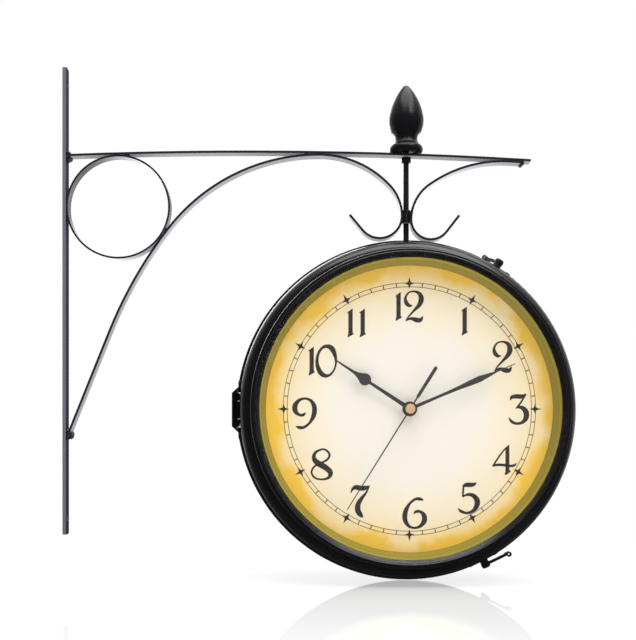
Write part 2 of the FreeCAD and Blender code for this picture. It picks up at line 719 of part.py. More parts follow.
def dust_lip():
    """Ring inside the rear half's rim that laps the front half's rim."""
    outside = BAND_R - WALL - LAP_GAP
    lip = rod_y(outside, -LAP_REACH, 5.0).cut(rod_y(outside - WALL, -LAP_REACH - 1, 6.0))
    root = rod_y(BAND_R - WALL / 2, 3.0, 5.0).cut(rod_y(outside - WALL / 2, 2.0, 6.0))
    ring_cut = at_angle(block(-HINGE_LENGTH, HINGE_LENGTH, -LAP_REACH - 1, SEAM_GAP, 0, SEAM_R), -90)
    return joined(lip.cut(ring_cut), root)


def bezel(side):
    """Ring pushed on the neck: plain outside, beaded crest, inward bevel and glass lip."""
    seat = SHOULDER_DEPTH + FIXED_FIT
    bead_low = (BEZEL_R, CREST_DEPTH - BEAD_BELOW_CREST - BEAD_WIDTH)
    bead_high = (BEZEL_R - BEAD_WIDTH, CREST_DEPTH - BEAD_BELOW_CREST)
    groove = (bead_high[0] - GROOVE / 2, bead_high[1] - GROOVE)
    crest_low = (bead_high[0] - GROOVE, bead_high[1] + GROOVE / 2)
    bevel_top = (BEZEL_R - CREST_IN, CREST_DEPTH - BEAD_BELOW_CREST / 2)
    recess = GLASS_R + GLASS_FIT
    ring_turned = turned((NECK_R + FIXED_FIT, seat),
                         (BEZEL_R + BEZEL_FOOT, seat),
                         (BEZEL_R + BEZEL_FOOT, SHOULDER_DEPTH + BEZEL_FOOT_RISE),
                         (BEZEL_R, SHOULDER_DEPTH + BEZEL_FOOT_RISE + BEZEL_FOOT),
                         bead_low,
                         bulged(bead_low, bead_high, BEAD_BULGE),
                         groove,
                         crest_low,
                         bulged(crest_low, bevel_top, CREST_BULGE),
                         (LIP_R, LIP_DEPTH + LIP_EDGE),
                         (LIP_R, LIP_DEPTH),
                         (recess, LIP_DEPTH),
                         (recess, GLASS_BACK - LIP_EDGE),
                         (NECK_R + FIXED_FIT, DIAL_FRONT + BEZEL_WALL))
    return to_clock(on_side(ring_turned, side))


def glass(side):
    disc = turned((0.0, GLASS_BACK), (GLASS_R, GLASS_BACK), (GLASS_R, GLASS_FRONT), (0.0, GLASS_FRONT))
    return to_clock(on_side(disc, side))


def dial_trim(side):
    """Coned ring between dial and glass, with a flat flange on the dial."""
    top = GLASS_BACK - TRIM_FIT
    foot = DIAL_FRONT + FIXED_FIT
    outer_top_r = GLASS_R - GLASS_FIT
    shape = turned((DIAL_VIEW_R, foot),
                   (outer_top_r - TRIM_WALL, top),
                   (outer_top_r, top),
                   (DIAL_VIEW_R + TRIM_WALL + FIXED_FIT, foot + TRIM_THICK),
                   (DIAL_R, foot + TRIM_THICK),
                   (DIAL_R, foot))
    return to_clock(on_side(shape, side))


def dial(side):
    shape = turned((BUSH_R + BUSH_FIT, DIAL_DEPTH + FIXED_FIT),
                   (DIAL_R, DIAL_DEPTH + FIXED_FIT),
                   (DIAL_R, DIAL_FRONT),
                   (BUSH_R + BUSH_FIT, DIAL_FRONT))
    return to_clock(on_side(shape, side))


# --- works -----------------------------------------------------------------------------
def movement(side):
    """Square box with a threaded bush in front and an open battery bay behind."""
    half = MOVEMENT_SIZE / 2
    box = block(-half, half, -MOVEMENT_FRONT, -MOVEMENT_BACK, -half, half)
    upright = [e for e in box.Edges if abs(e.tangentAt(e.FirstParameter).y) > 0.9]
    box = box.makeFillet(MOVEMENT_CORNER, upright)
    bay_r = BATTERY_R + BATTERY_GAP
    bay_half = BATTERY_LENGTH / 2 + BATTERY_NUB + BATTERY_GAP
    axis_y = -MOVEMENT_BACK - bay_r + BAY_SHY
    bay = joined(rod_x(bay_r, -bay_half, bay_half, y=axis_y, z=BATTERY_Z),
                 block(-bay_half, bay_half, axis_y, -MOVEMENT_BACK + 1,
                       BATTERY_Z - bay_r, BATTERY_Z + bay_r))
    bush = rod_y(BUSH_R, -DIAL_DEPTH - BUSH_LENGTH, -MOVEMENT_FRONT + 1)
    works = joined(box.cut(bay), bush)
    bore = rod_y(HOUR_PIPE_R + RUNNING_FIT, -DIAL_DEPTH - BUSH_LENGTH - 1, BORE_DEPTH - MOVEMENT_FRONT)
    knob_hole = rod_y(KNOB_SHAFT_R + RUNNING_FIT, -MOVEMENT_BACK - KNOB_SHAFT_IN - HOLE_SPARE,
                      -MOVEMENT_BACK + 1, x=KNOB_X, z=KNOB_Z)
    return to_clock(on_side(works.cut([bore, knob_hole]), side))


def gasket(side):
    shape = turned((BUSH_R + BUSH_FIT, MOVEMENT_FRONT + FIXED_FIT),
                   (GASKET_R, MOVEMENT_FRONT + FIXED_FIT),
                   (GASKET_R, DIAL_DEPTH),
                   (BUSH_R + BUSH_FIT, DIAL_DEPTH))
    return to_clock(on_side(shape, side))


def dial_nut(side):
    """Round nut on the bush, with two slots for its spanner."""
    back = DIAL_FRONT + FIXED_FIT
    shape = turned((BUSH_R + FIXED_FIT, back),
                   (DIAL_NUT_R, back),
                   (DIAL_NUT_R, back + DIAL_NUT_THICK - NUT_EDGE),
                   (DIAL_NUT_R - NUT_EDGE, back + DIAL_NUT_THICK),
                   (BUSH_R + FIXED_FIT, back + DIAL_NUT_THICK))
    slot = block(-DIAL_NUT_R - 1, DIAL_NUT_R + 1, -back - DIAL_NUT_THICK - 1,
                 -back - DIAL_NUT_THICK + NUT_SLOT, -NUT_SLOT / 2, NUT_SLOT / 2)
    return to_clock(on_side(shape.cut(slot), side))


def battery(side):
    """Round cell with a small positive nub."""
    axis_y = -MOVEMENT_BACK - BATTERY_R - BATTERY_GAP + BAY_SHY
    half = BATTERY_LENGTH / 2
    can = rod_x(BATTERY_R, -half, half, y=axis_y, z=BATTERY_Z)
    rims = [e for e in can.Edges if len(e.Vertexes) == 1]
    can = can.makeChamfer(BATTERY_EDGE, rims)
    nub = rod_x(BATTERY_NUB_R, half - BATTERY_EDGE, half + BATTERY_NUB, y=axis_y, z=BATTERY_Z)
    return to_clock(on_side(joined(can, nub), side))


def setting_knob(side):
    """Fluted wheel on the back of the movement."""
    back_y = -MOVEMENT_BACK + KNOB_GAP
    wheel = rod_y(KNOB_R, back_y, back_y + KNOB_THICK, x=KNOB_X, z=KNOB_Z)
    flutes = []
    flute_circle = KNOB_R + KNOB_FLUTE_OUT
    for i in range(KNOB_FLUTES):
        angle = math.radians(360 / KNOB_FLUTES * i)
        flutes.append(rod_y(KNOB_FLUTE_R, back_y - 1, back_y + KNOB_THICK + 1,
                            x=KNOB_X + flute_circle * math.cos(angle),
                            z=KNOB_Z + flute_circle * math.sin(angle)))
    shaft = rod_y(KNOB_SHAFT_R, -MOVEMENT_BACK - KNOB_SHAFT_IN, back_y + 1, x=KNOB_X, z=KNOB_Z)
    return to_clock(on_side(joined(wheel.cut(flutes), shaft), side))


# --- hands -----------------------------------------------------------------------------
def hand_plate(right_side, depth, thickness, angle):
    """A flat hand from its right-hand outline of (half width, distance from the pivot)."""
    start = right_side[0]
    steps = tuple(right_side[1:])
    mirrored = []
    points = [step[1] if isinstance(step[0], tuple) else step for step in right_side]
    for i in range(len(right_side) - 1, 0, -1):
        step = right_side[i]
        end = (-points[i - 1][0], points[i - 1][1])
        if isinstance(step[0], tuple):
            mirrored.append(((-step[0][0], step[0][1]), end))
        else:
            mirrored.append(end)
    across = ((-points[-1][0], points[-1][1]),)
    face = outline(start, steps + across + tuple(mirrored), lambda x, z: Vector(x, -depth, z))
    return at_angle(outward(face.extrude(Vector(0, -thickness, 0))), angle)


def on_pipe(plate, hub_r, pipe_r, bore_r, pipe_from, depth, thickness):
    """Joins a hand to its hub and pipe."""
    hub = rod_y(hub_r, -depth - thickness, -depth)
    pipe = rod_y(pipe_r, -depth - thickness - 0.3, -pipe_from)
    whole = joined(plate, hub, pipe)
    if bore_r:
        whole = whole.cut(rod_y(bore_r, -depth - 5, -pipe_from + 1))
    return whole


def hour_hand(side):
    """Spade hand: straight shank, round bulb, and a point that sweeps in to a needle."""
    tip = DIAL_VIEW_R - HOUR_SHORT_OF_DIAL
    bulb = tip - HOUR_BULB_FROM_TIP
    shank = 1.0
    meet = bulb - math.sqrt(HOUR_BULB_R ** 2 - shank ** 2)
    leave = math.radians(50)
    leave_x = HOUR_BULB_R * math.sin(leave)
    leave_z = bulb + HOUR_BULB_R * math.cos(leave)
    side_line = ((1.5, 3.0), (shank, meet),
                 ((HOUR_BULB_R, bulb), (leave_x, leave_z)),
                 ((1.65, leave_z + 3.6), (0.95, leave_z + 8.0)),
                 (0.45, tip))
    plate = hand_plate(side_line, HOUR_DEPTH, HAND_THICK, HOUR_ANGLE)
    whole = on_pipe(plate, HUB_R, HOUR_PIPE_R, MINUTE_PIPE_R + RUNNING_FIT,
                    MOVEMENT_FRONT - BORE_DEPTH + 1, HOUR_DEPTH, HAND_THICK)
    return to_clock(on_side(whole, side))


def minute_hand(side):
    """Long leaf hand that swells past its middle and ends in a needle."""
    tip = DIAL_VIEW_R - MINUTE_SHORT_OF_DIAL
    side_line = ((1.25, 3.0), (0.95, tip - 57.0), (1.35, tip - 41.0),
                 ((2.0, tip - 31.0), (2.15, tip - 26.6)),
                 (0.45, tip - 13.4), (0.28, tip))
    plate = hand_plate(side_line, MINUTE_DEPTH, HAND_THICK, MINUTE_ANGLE)
    whole = on_pipe(plate, HUB_R - 0.4, MINUTE_PIPE_R, SECOND_ARBOR_R + RUNNING_FIT,
                    MOVEMENT_FRONT - BORE_DEPTH + 0.7, MINUTE_DEPTH, HAND_THICK)
    return to_clock(on_side(whole, side))


def second_hand(side):
    """Needle with a narrow neck and a thick round-ended tail behind the pivot."""
    tip = DIAL_VIEW_R - SECOND_SHORT_OF_DIAL
    side_line = ((1.2, 1.2 - SECOND_TAIL), (1.1, -10.0), (0.5, -8.8), (0.5, 5.0), (0.32, tip))
    plate = hand_plate(side_line, SECOND_DEPTH, SECOND_THICK, SECOND_ANGLE)
    round_end = at_angle(rod_y(1.2, -SECOND_DEPTH - SECOND_THICK, -SECOND_DEPTH,
                               z=1.2 - SECOND_TAIL), SECOND_ANGLE)
    whole = on_pipe(joined(plate, round_end), 2.6, SECOND_ARBOR_R, 0,
                    MOVEMENT_FRONT - BORE_DEPTH + 0.4, SECOND_DEPTH, SECOND_THICK)
    return to_clock(on_side(whole, side))


def hand_cap(side):
    """Brass button on the second hand's pivot."""
    back = SECOND_DEPTH + SECOND_THICK + FIXED_FIT
    shape = turned((SECOND_ARBOR_R + FIXED_FIT, back),
                   (CAP_R, back),
                   (CAP_R, back + CAP_THICK - 0.5),
                   ((CAP_R - 0.15, back + CAP_THICK - 0.15), (CAP_R - 0.5, back + CAP_THICK)),
                   (0.0, back + CAP_THICK),
                   (0.0, back + 0.5),
                   (SECOND_ARBOR_R + FIXED_FIT, back + 0.5))
    return to_clock(on_side(shape, side))


# --- hinge -----------------------------------------------------------------------------
def hinge_leaf(side):
    """Raised strap with sloping feet on the case band, and its knuckles at the seam."""
    top = HINGE_R + LEAF_RISE + LEAF_THICK
    under = HINGE_R + LEAF_RISE
    half = HINGE_LENGTH / 2
    foot_top = BAND_R + LEAF_THICK - FOOT_DROP
    foot_under = foot_top - LEAF_THICK * 0.75
    foot_end = foot_top - FOOT_TAPER
    y_low, y_high = sorted((side * LEAF_FROM, side * LEAF_TO))
    strap = side_cut((-FOOT_OUT, BAND_R - 4),
                     ((-FOOT_OUT, foot_end), (-FOOT_IN - 1, foot_top), (-half, top),
                      (half, top), (FOOT_IN + 1, foot_top), (FOOT_OUT, foot_end),
                      (FOOT_OUT, BAND_R - 4), (FOOT_IN, BAND_R - 4),
                      (FOOT_IN, foot_under), (half - LEAF_THICK / 2, under),
                      (LEAF_THICK / 2 - half, under), (-FOOT_IN, foot_under), (-FOOT_IN, BAND_R - 4)),
                     y_low, y_high)
    strap = strap.cut(rod_y(BAND_R + FIXED_FIT, -20, 20))
    middle = MIDDLE_KNUCKLE / 2
    if side == FRONT:
        spans = [(-middle + KNUCKLE_GAP / 2, middle - KNUCKLE_GAP / 2)]
        bore = HINGE_PIN_R + RUNNING_FIT
    else:
        spans = [(-half, -middle - KNUCKLE_GAP / 2), (middle + KNUCKLE_GAP / 2, half)]
        bore = HINGE_PIN_R + FIXED_FIT
    pieces = []
    for low, high in spans:
        pieces.append(rod_x(KNUCKLE_R, low, high, z=HINGE_R))
        y_near, y_far = sorted((0.0, side * (LEAF_FROM + 0.5)))
        pieces.append(block(low, high, y_near, y_far, under, top))
    leaf = joined(strap, *pieces)
    leaf = leaf.cut(rod_x(bore, -half - 1, half + 1, z=HINGE_R))
    for angle in (-FOOT_SCREW_ANGLE, FOOT_SCREW_ANGLE):
        leaf = leaf.cut(radial_hole(angle, side * LEAF_MID))
    return to_clock(at_angle(leaf, -90))


def hinge_pin():
    half = HINGE_LENGTH / 2
    seat = half + RUNNING_FIT
    pin = rod_x(HINGE_PIN_R, -seat - PIN_HEAD / 2, seat + PIN_HEAD / 2, z=HINGE_R)
    heads = [rod_x(PIN_HEAD_R, seat, seat + PIN_HEAD, z=HINGE_R),
             rod_x(PIN_HEAD_R, -seat - PIN_HEAD, -seat, z=HINGE_R)]
    return to_clock(at_angle(joined(pin, *heads), -90))


# --- latches ---------------------------------------------------------------------------
def latch_plate(side, angle):
    """Curved plate on the case band, with a boss for the hook or the pin that the hook takes."""
    half_width = LATCH_PLATE_WIDTH / 2
    y = side * LATCH_DEPTH
    sheet = rod_y(PLATE_TOP, y - half_width, y + half_width)
    sheet = sheet.cut(rod_y(BAND_R + FIXED_FIT, y - 20, y + 20))
    half = LATCH_PLATE_LENGTH / 2
    sheet = sheet.common(block(-half, half, y - 20, y + 20, 0, SEAM_R))
    upright = [e for e in sheet.Edges if abs(e.tangentAt(e.FirstParameter).z) > 0.8]
    sheet = sheet.makeFillet(LATCH_PLATE_CORNER, upright)
    if side == FRONT:
        boss = rod_z(RIVET_HEAD_R, PLATE_TOP - LATCH_PLATE_THICK / 2, HOOK_R - HOOK_PLAY, y=y)
        plate = joined(sheet, boss).cut(rod_z(RIVET_R + FIXED_FIT, 0, SEAM_R + 9, y=y))
    else:
        hook_top = HOOK_R + HOOK_THICK
        pin = rod_z(CATCH_PIN_R, PLATE_TOP - LATCH_PLATE_THICK / 2, hook_top + CATCH_HEAD, y=y)
        head = rod_z(CATCH_HEAD_R, hook_top + CATCH_GAP, hook_top + CATCH_GAP + CATCH_HEAD, y=y)
        head = head.makeChamfer(CATCH_HEAD * 0.4, [head.Edges[0]])
        plate = joined(sheet, pin, head)
    for offset in (-PLATE_SCREW_ANGLE, PLATE_SCREW_ANGLE):
        plate = plate.cut(radial_hole(offset, y))
    return to_clock(at_angle(plate, angle))


def hook_rivets():
    """Rivets that the two hooks turn on."""
    rivets = []
    hook_top = HOOK_R + HOOK_THICK
    for angle in (UPPER_LATCH_ANGLE, LOWER_LATCH_ANGLE):
        shank = rod_z(RIVET_R, BAND_R + 0.1, hook_top + RIVET_HEAD / 2, y=-LATCH_DEPTH)
        head = rod_z(RIVET_HEAD_R, hook_top + HOOK_PLAY, hook_top + HOOK_PLAY + RIVET_HEAD, y=-LATCH_DEPTH)
        head = head.makeChamfer(RIVET_HEAD * 0.4, [head.Edges[0]])
        rivets.append(at_angle(joined(shank, head), angle))
    return to_clock(Part.makeCompound(rivets))


def hook(angle, swing):
    """Flat swing hook: eye, arm, open jaw for the pin and a thumb end rolled up into a loop."""
    reach = 2 * LATCH_DEPTH
    low = HOOK_R
    high = HOOK_R + HOOK_THICK
    jaw_r = CATCH_PIN_R + HOOK_MOUTH
    eye = rod_z(HOOK_EYE_R, low, high)
    jaw = rod_z(HOOK_HEAD_R, low, high, y=reach)
    corners = [(-HOOK_ARM_LEFT, 2.0), (HOOK_ARM_RIGHT, 2.0), (-jaw_r, reach - 2.2),
               (-HOOK_HEAD_R + 0.2, reach)]
    face = outline(corners[0], tuple(corners[1:]), lambda x, y: Vector(x, y, low))
    arm_piece = outward(face.extrude(Vector(0, 0, HOOK_THICK)))
    roll_y = reach + CATCH_HEAD_R + ROLL_GAP + ROLL_R
    roll = rod_x(ROLL_R, -ROLL_WIDTH / 2, ROLL_WIDTH / 2, y=roll_y, z=low + ROLL_R)
    whole = joined(eye, jaw, arm_piece, roll)
    whole = whole.cut(rod_x(ROLL_BORE_R, -HOOK_HEAD_R, HOOK_HEAD_R, y=roll_y, z=low + ROLL_R))
    mouth = block(0, HOOK_HEAD_R + 1, reach - HOOK_HEAD_R - 1, reach + jaw_r, low - 1, high + 1)
    whole = whole.cut([rod_z(jaw_r, low - 1, high + 1, y=reach), mouth,
                       rod_z(RIVET_R + RUNNING_FIT, low - 1, high + 1)])
    whole.rotate(OFF, Z_AXIS, swing)
    whole.translate(Vector(0, -LATCH_DEPTH, 0))
    return to_clock(at_angle(whole, angle))


# --- all pieces ------------------------------------------------------------------------
def bracket_nodes():
    brace = brace_scroll()
    tip = tip_scroll()
    plate = wall_plate()
    arm_bar = arm()
    ring_x, ring_z, ring_r = ring_circle(brace)
    disc = rod_y(ring_r, -STRIP_WIDTH, STRIP_WIDTH, x=ring_x, z=ring_z)
    return {"wall_plate": plate,
            "arm": arm_bar,
            "brace_scroll": brace,
            "tip_scroll": tip,
            "ring": ring(ring_x, ring_z, ring_r),
            "rod_guide": rod_guide([brace, tip]),
            "bracket_welds": welds([plate, arm_bar, brace, tip], ring_x, ring_z, disc)}


def hanging_nodes():
    return {"hanger_rod": hanger_rod(),
            "finial": finial(),
            "swivel_nut": swivel_nut(),
            "hanger_clip": hanger_clip(),
            "clip_nuts": clip_nuts(),
            "clip_screws": clip_screws()}


def clock_nodes(side, word):
    return {word + "_case": case_half(side),
            word + "_bezel": bezel(side),
            word + "_glass": glass(side),
            word + "_dial_trim": dial_trim(side),
            word + "_dial": dial(side),
            word + "_movement": movement(side),
            word + "_gasket": gasket(side),
            word + "_dial_nut": dial_nut(side),
            word + "_battery": battery(side),
            word + "_setting_knob": setting_knob(side),
            word + "_hour_hand": hour_hand(side),
            word + "_minute_hand": minute_hand(side),
            word + "_second_hand": second_hand(side),
            word + "_hand_cap": hand_cap(side),
            word + "_hinge_leaf": hinge_leaf(side),
            word + "_hinge_screws": hinge_screws(side),
            word + "_latch_screws": latch_screws(side)}


def latch_nodes():
    return {"hinge_pin": hinge_pin(),
            "hook_rivets": hook_rivets(),
            "upper_pivot_plate": latch_plate(FRONT, UPPER_LATCH_ANGLE),
            "lower_pivot_plate": latch_plate(FRONT, LOWER_LATCH_ANGLE),
            "upper_catch_plate": latch_plate(REAR, UPPER_LATCH_ANGLE),
            "lower_catch_plate": latch_plate(REAR, LOWER_LATCH_ANGLE),
            "upper_hook": hook(UPPER_LATCH_ANGLE, UPPER_HOOK_OPEN),
            "lower_hook": hook(LOWER_LATCH_ANGLE, LOWER_HOOK_OPEN)}


nodes = {}
nodes.update(bracket_nodes())
nodes.update(hanging_nodes())
nodes.update(clock_nodes(FRONT, "front"))
nodes.update(clock_nodes(REAR, "rear"))
nodes.update(latch_nodes())

os.makedirs("parts", exist_ok=True)
for name, shape in nodes.items():
    shape.exportStep(os.path.join("parts", name + ".step"))
    print(name, len(shape.Solids), round(shape.Volume, 1), shape.isValid())
print(len(nodes), "nodes, case centre", round(CASE_Z, 3))
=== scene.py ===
import math

import bmesh
import bpy
from mathutils import Matrix, Vector


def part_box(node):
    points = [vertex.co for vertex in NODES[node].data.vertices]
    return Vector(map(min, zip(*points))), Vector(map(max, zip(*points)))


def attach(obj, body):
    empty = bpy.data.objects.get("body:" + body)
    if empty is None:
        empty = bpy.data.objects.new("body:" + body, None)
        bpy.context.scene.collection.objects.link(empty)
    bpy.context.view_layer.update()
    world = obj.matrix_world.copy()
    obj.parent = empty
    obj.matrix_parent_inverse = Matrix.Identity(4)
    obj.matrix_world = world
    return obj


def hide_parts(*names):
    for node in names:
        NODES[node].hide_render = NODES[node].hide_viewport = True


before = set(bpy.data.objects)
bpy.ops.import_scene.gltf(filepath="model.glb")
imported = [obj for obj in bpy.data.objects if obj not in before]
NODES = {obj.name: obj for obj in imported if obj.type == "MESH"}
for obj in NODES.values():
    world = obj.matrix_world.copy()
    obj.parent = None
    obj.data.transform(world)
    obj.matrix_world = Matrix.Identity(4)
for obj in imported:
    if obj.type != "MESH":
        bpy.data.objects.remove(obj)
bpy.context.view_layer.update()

bl_info = {
    "name": "Double sided station clock",
    "version": (1, 0, 0),
    "blender": (4, 5, 0),
    "location": "3D View > Sidebar > Station clock",
    "description": "Finishes a double sided wall clock on its scrolled bracket, piece by piece",
    "category": "Object",
}

MM = 0.001

# Where things are, read from the frame.
FRONT_DIAL_LOW, FRONT_DIAL_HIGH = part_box("front_dial")
CLOCK_X = (FRONT_DIAL_LOW[0] + FRONT_DIAL_HIGH[0]) / 2
CLOCK_Z = (FRONT_DIAL_LOW[2] + FRONT_DIAL_HIGH[2]) / 2
CASE_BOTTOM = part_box("front_case")[0][2]
BEZEL_LOW, BEZEL_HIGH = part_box("front_bezel")
BEZEL_R = (BEZEL_HIGH[0] - BEZEL_LOW[0]) / 2 - 0.6 * MM
BEZEL_CREST = -BEZEL_LOW[1]
BEZEL_BACK = -BEZEL_HIGH[1]
DIAL_PRINT_DEPTH = -FRONT_DIAL_LOW[1]
TRIM_RISE = -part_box("front_dial_trim")[0][1] - DIAL_PRINT_DEPTH

# The photograph's frame and its matched camera.
IMAGE_WIDTH = 636
FOCAL_PIXELS = 1103.0
OPTICAL_AXIS_BELOW_MIDDLE = 115.0
SENSOR = 36.0
CAMERA_AT = (0.1838, -0.798, -0.0967)


# --- settings a user would change -----------------------------------------------------
def colour_property(name, description, default):
    return bpy.props.FloatVectorProperty(name=name, description=description, default=default,
                                         subtype="COLOR", size=3, min=0.0, max=1.0)


def length_property(name, description, default, high=0.05):
    return bpy.props.FloatProperty(name=name, description=description, default=default,
                                   min=0.0, max=high, precision=5, unit="LENGTH")


def factor_property(name, description, default):
    return bpy.props.FloatProperty(name=name, description=description, default=default,
                                   min=0.0, max=1.0, subtype="FACTOR")


def power_property(name, description, default):
    return bpy.props.FloatProperty(name=name, description=description, default=default, min=0.0)


class PaintSettings(bpy.types.PropertyGroup):
    case_black: colour_property("Case black", "Stoved paint on the case, bezels and finial",
                                (0.006, 0.0055, 0.0065))
    strip_black: colour_property("Strip black", "Paint on the bracket's strips",
                                 (0.007, 0.0065, 0.008))
    dust: colour_property("Dust", "Pale bloom that settles on painted faces", (0.12, 0.11, 0.14))
    case_roughness: factor_property("Case roughness", "How satin the case paint is", 0.26)
    strip_roughness: factor_property("Strip roughness", "How satin the strips are", 0.36)
    edge_round: length_property("Edge rounding", "Radius of cut edges under the paint", 0.00025)


class DialSettings(bpy.types.PropertyGroup):
    # Cream, peach and gold are partly the dial's own ageing and partly painted light: the rim
    # colours are set brighter to offset the shade of the bezel and trim ring.
    cream: colour_property("Cream", "Middle of the dial", (0.88, 0.845, 0.755))
    peach: colour_property("Peach", "Where the cream starts to age", (0.98, 0.77, 0.37))
    gold: colour_property("Gold", "Cloudy rim of the dial", (0.97, 0.60, 0.05))
    ink: colour_property("Ink", "Numerals and minute ring", (0.012, 0.008, 0.006))
    trim: colour_property("Trim ring", "Coned ring between dial and glass", (0.27, 0.22, 0.012))
    ring_outer: length_property("Ring outside", "Outer line of the minute ring", 0.0880, 0.2)
    ring_inner: length_property("Ring inside", "Inner line of the minute ring", 0.0852, 0.2)
    line_width: length_property("Line width", "Width of the ring's two lines", 0.00038)
    ink_height: length_property("Ink height", "Thickness of the printed ink", 0.00006)


class MetalSettings(bpy.types.PropertyGroup):
    brass: colour_property("Brass", "Cap over the hands and the dial nut", (0.72, 0.47, 0.24))
    zinc: colour_property("Zinc plate", "Screws, nuts and the hanger clip", (0.5, 0.5, 0.52))
    hand_black: colour_property("Hand black", "Paint on the hands", (0.008, 0.007, 0.008))


class StageSettings(bpy.types.PropertyGroup):
    floor_gap: length_property("Floor gap", "From the case's lowest point to the floor", 0.0004)
    key_watts: power_property("Key light", "Power of the overhead panel", 18.5)
    fill_watts: power_property("Fill light", "Power of the front and rear panels", 10.5)


# --- small tools ------------------------------------------------------------------------
SIDES = ("front", "rear")
NODE_MERGE = 0.000002  # tessellation points this close are one point
SPIN_MERGE = 0.000003
FLAT_DEGREES = 0.03  # triangles closer to one plane than this make up one face
SMALL_ROUND = 0.0002  # rounding of small fittings
MATERIALS = {}


def deselect():
    bpy.ops.object.select_all(action="DESELECT")


def make_active(obj):
    deselect()
    obj.select_set(True)
    bpy.context.view_layer.objects.active = obj


def edit_mesh(obj):
    """Opens a piece in edit mode, with all of it selected."""
    make_active(obj)
    bpy.ops.object.mode_set(mode="EDIT")
    bpy.ops.mesh.select_all(action="SELECT")


def end_edit():
    bpy.ops.object.mode_set(mode="OBJECT")


def object_from(mesh, name):
    mesh.name = name
    obj = bpy.data.objects.new(name, mesh)
    bpy.context.scene.collection.objects.link(obj)
    return obj


def apply_modifier(obj, kind, **settings):
    make_active(obj)
    modifier = obj.modifiers.new(kind.title(), kind)
    for key, value in settings.items():
        setattr(modifier, key, value)
    bpy.ops.object.modifier_apply(modifier=modifier.name)


def smooth(obj, degrees):
    make_active(obj)
    bpy.ops.object.shade_smooth_by_angle(angle=math.radians(degrees))


def settle(obj):
    """Puts a piece's place into its mesh, with its object at the origin."""
    make_active(obj)
    bpy.ops.object.transform_apply(location=True, rotation=True, scale=True)


def join(objects, name):
    make_active(objects[0])
    for obj in objects:
        obj.select_set(True)
    bpy.ops.object.join()
    objects[0].name = name
    objects[0].data.name = name
    return objects[0]


def copy_node(node, name):
    """A merged copy of a CAD node, with flat faces made whole again."""
    obj = object_from(NODES[node].data.copy(), name)
    obj.data.materials.clear()
    edit_mesh(obj)
    bpy.ops.mesh.remove_doubles(threshold=NODE_MERGE)
    bpy.ops.mesh.dissolve_limited(angle_limit=math.radians(FLAT_DEGREES))
    end_edit()
    return obj


def dress(obj, body, material, slot, *nodes):
    """Gives a piece its material, the body that it rides on and the nodes that it stands for."""
    obj.data.materials.clear()
    obj.data.materials.append(MATERIALS[material])
    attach(obj, body)
    if nodes:
        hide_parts(*nodes)


def paint_node(node, material):
    mesh = NODES[node].data
    mesh.materials.clear()
    mesh.materials.append(MATERIALS[material])


def finish_smooth(node, body, material, slot, degrees=32.0):
    """Stands a smooth-shaded copy in a node's place."""
    obj = copy_node(node, node + "_finished")
    smooth(obj, degrees)
    dress(obj, body, material, slot, node)


def finish_rounded(node, body, material, slot, width=SMALL_ROUND, degrees=32.0):
    """The same, with its cut edges rounded as paint rounds them."""
    obj = copy_node(node, node + "_finished")
    apply_modifier(obj, "BEVEL", width=width, segments=2, limit_method="ANGLE",
                   angle_limit=math.radians(degrees), use_clamp_overlap=True,
                   miter_outer="MITER_ARC")
    smooth(obj, 40.0)
    apply_modifier(obj, "WEIGHTED_NORMAL", keep_sharp=True)
    dress(obj, body, material, slot, node)


def side_turn(side):
    """The rear dial's pieces are the front's, turned to face the other way."""
    if side == "front":
        return Matrix.Identity(4)
    about = Matrix.Translation(Vector((CLOCK_X, 0.0, 0.0)))
    return about @ Matrix.Rotation(math.pi, 4, "Z") @ about.inverted()


def clock_matrix(side):
    """From (across, up, out of the dial) on a clock face to the row frame."""
    face = Matrix(((1, 0, 0, CLOCK_X), (0, 0, -1, 0), (0, 1, 0, CLOCK_Z), (0, 0, 0, 1)))
    return side_turn(side) @ face


def body_of_side(side):
    return "door" if side == "front" else "head"


# --- material tools ---------------------------------------------------------------------
GROUPS = {}
IN_DIAL_PLANE = (1.0, 0.0, 1.0)


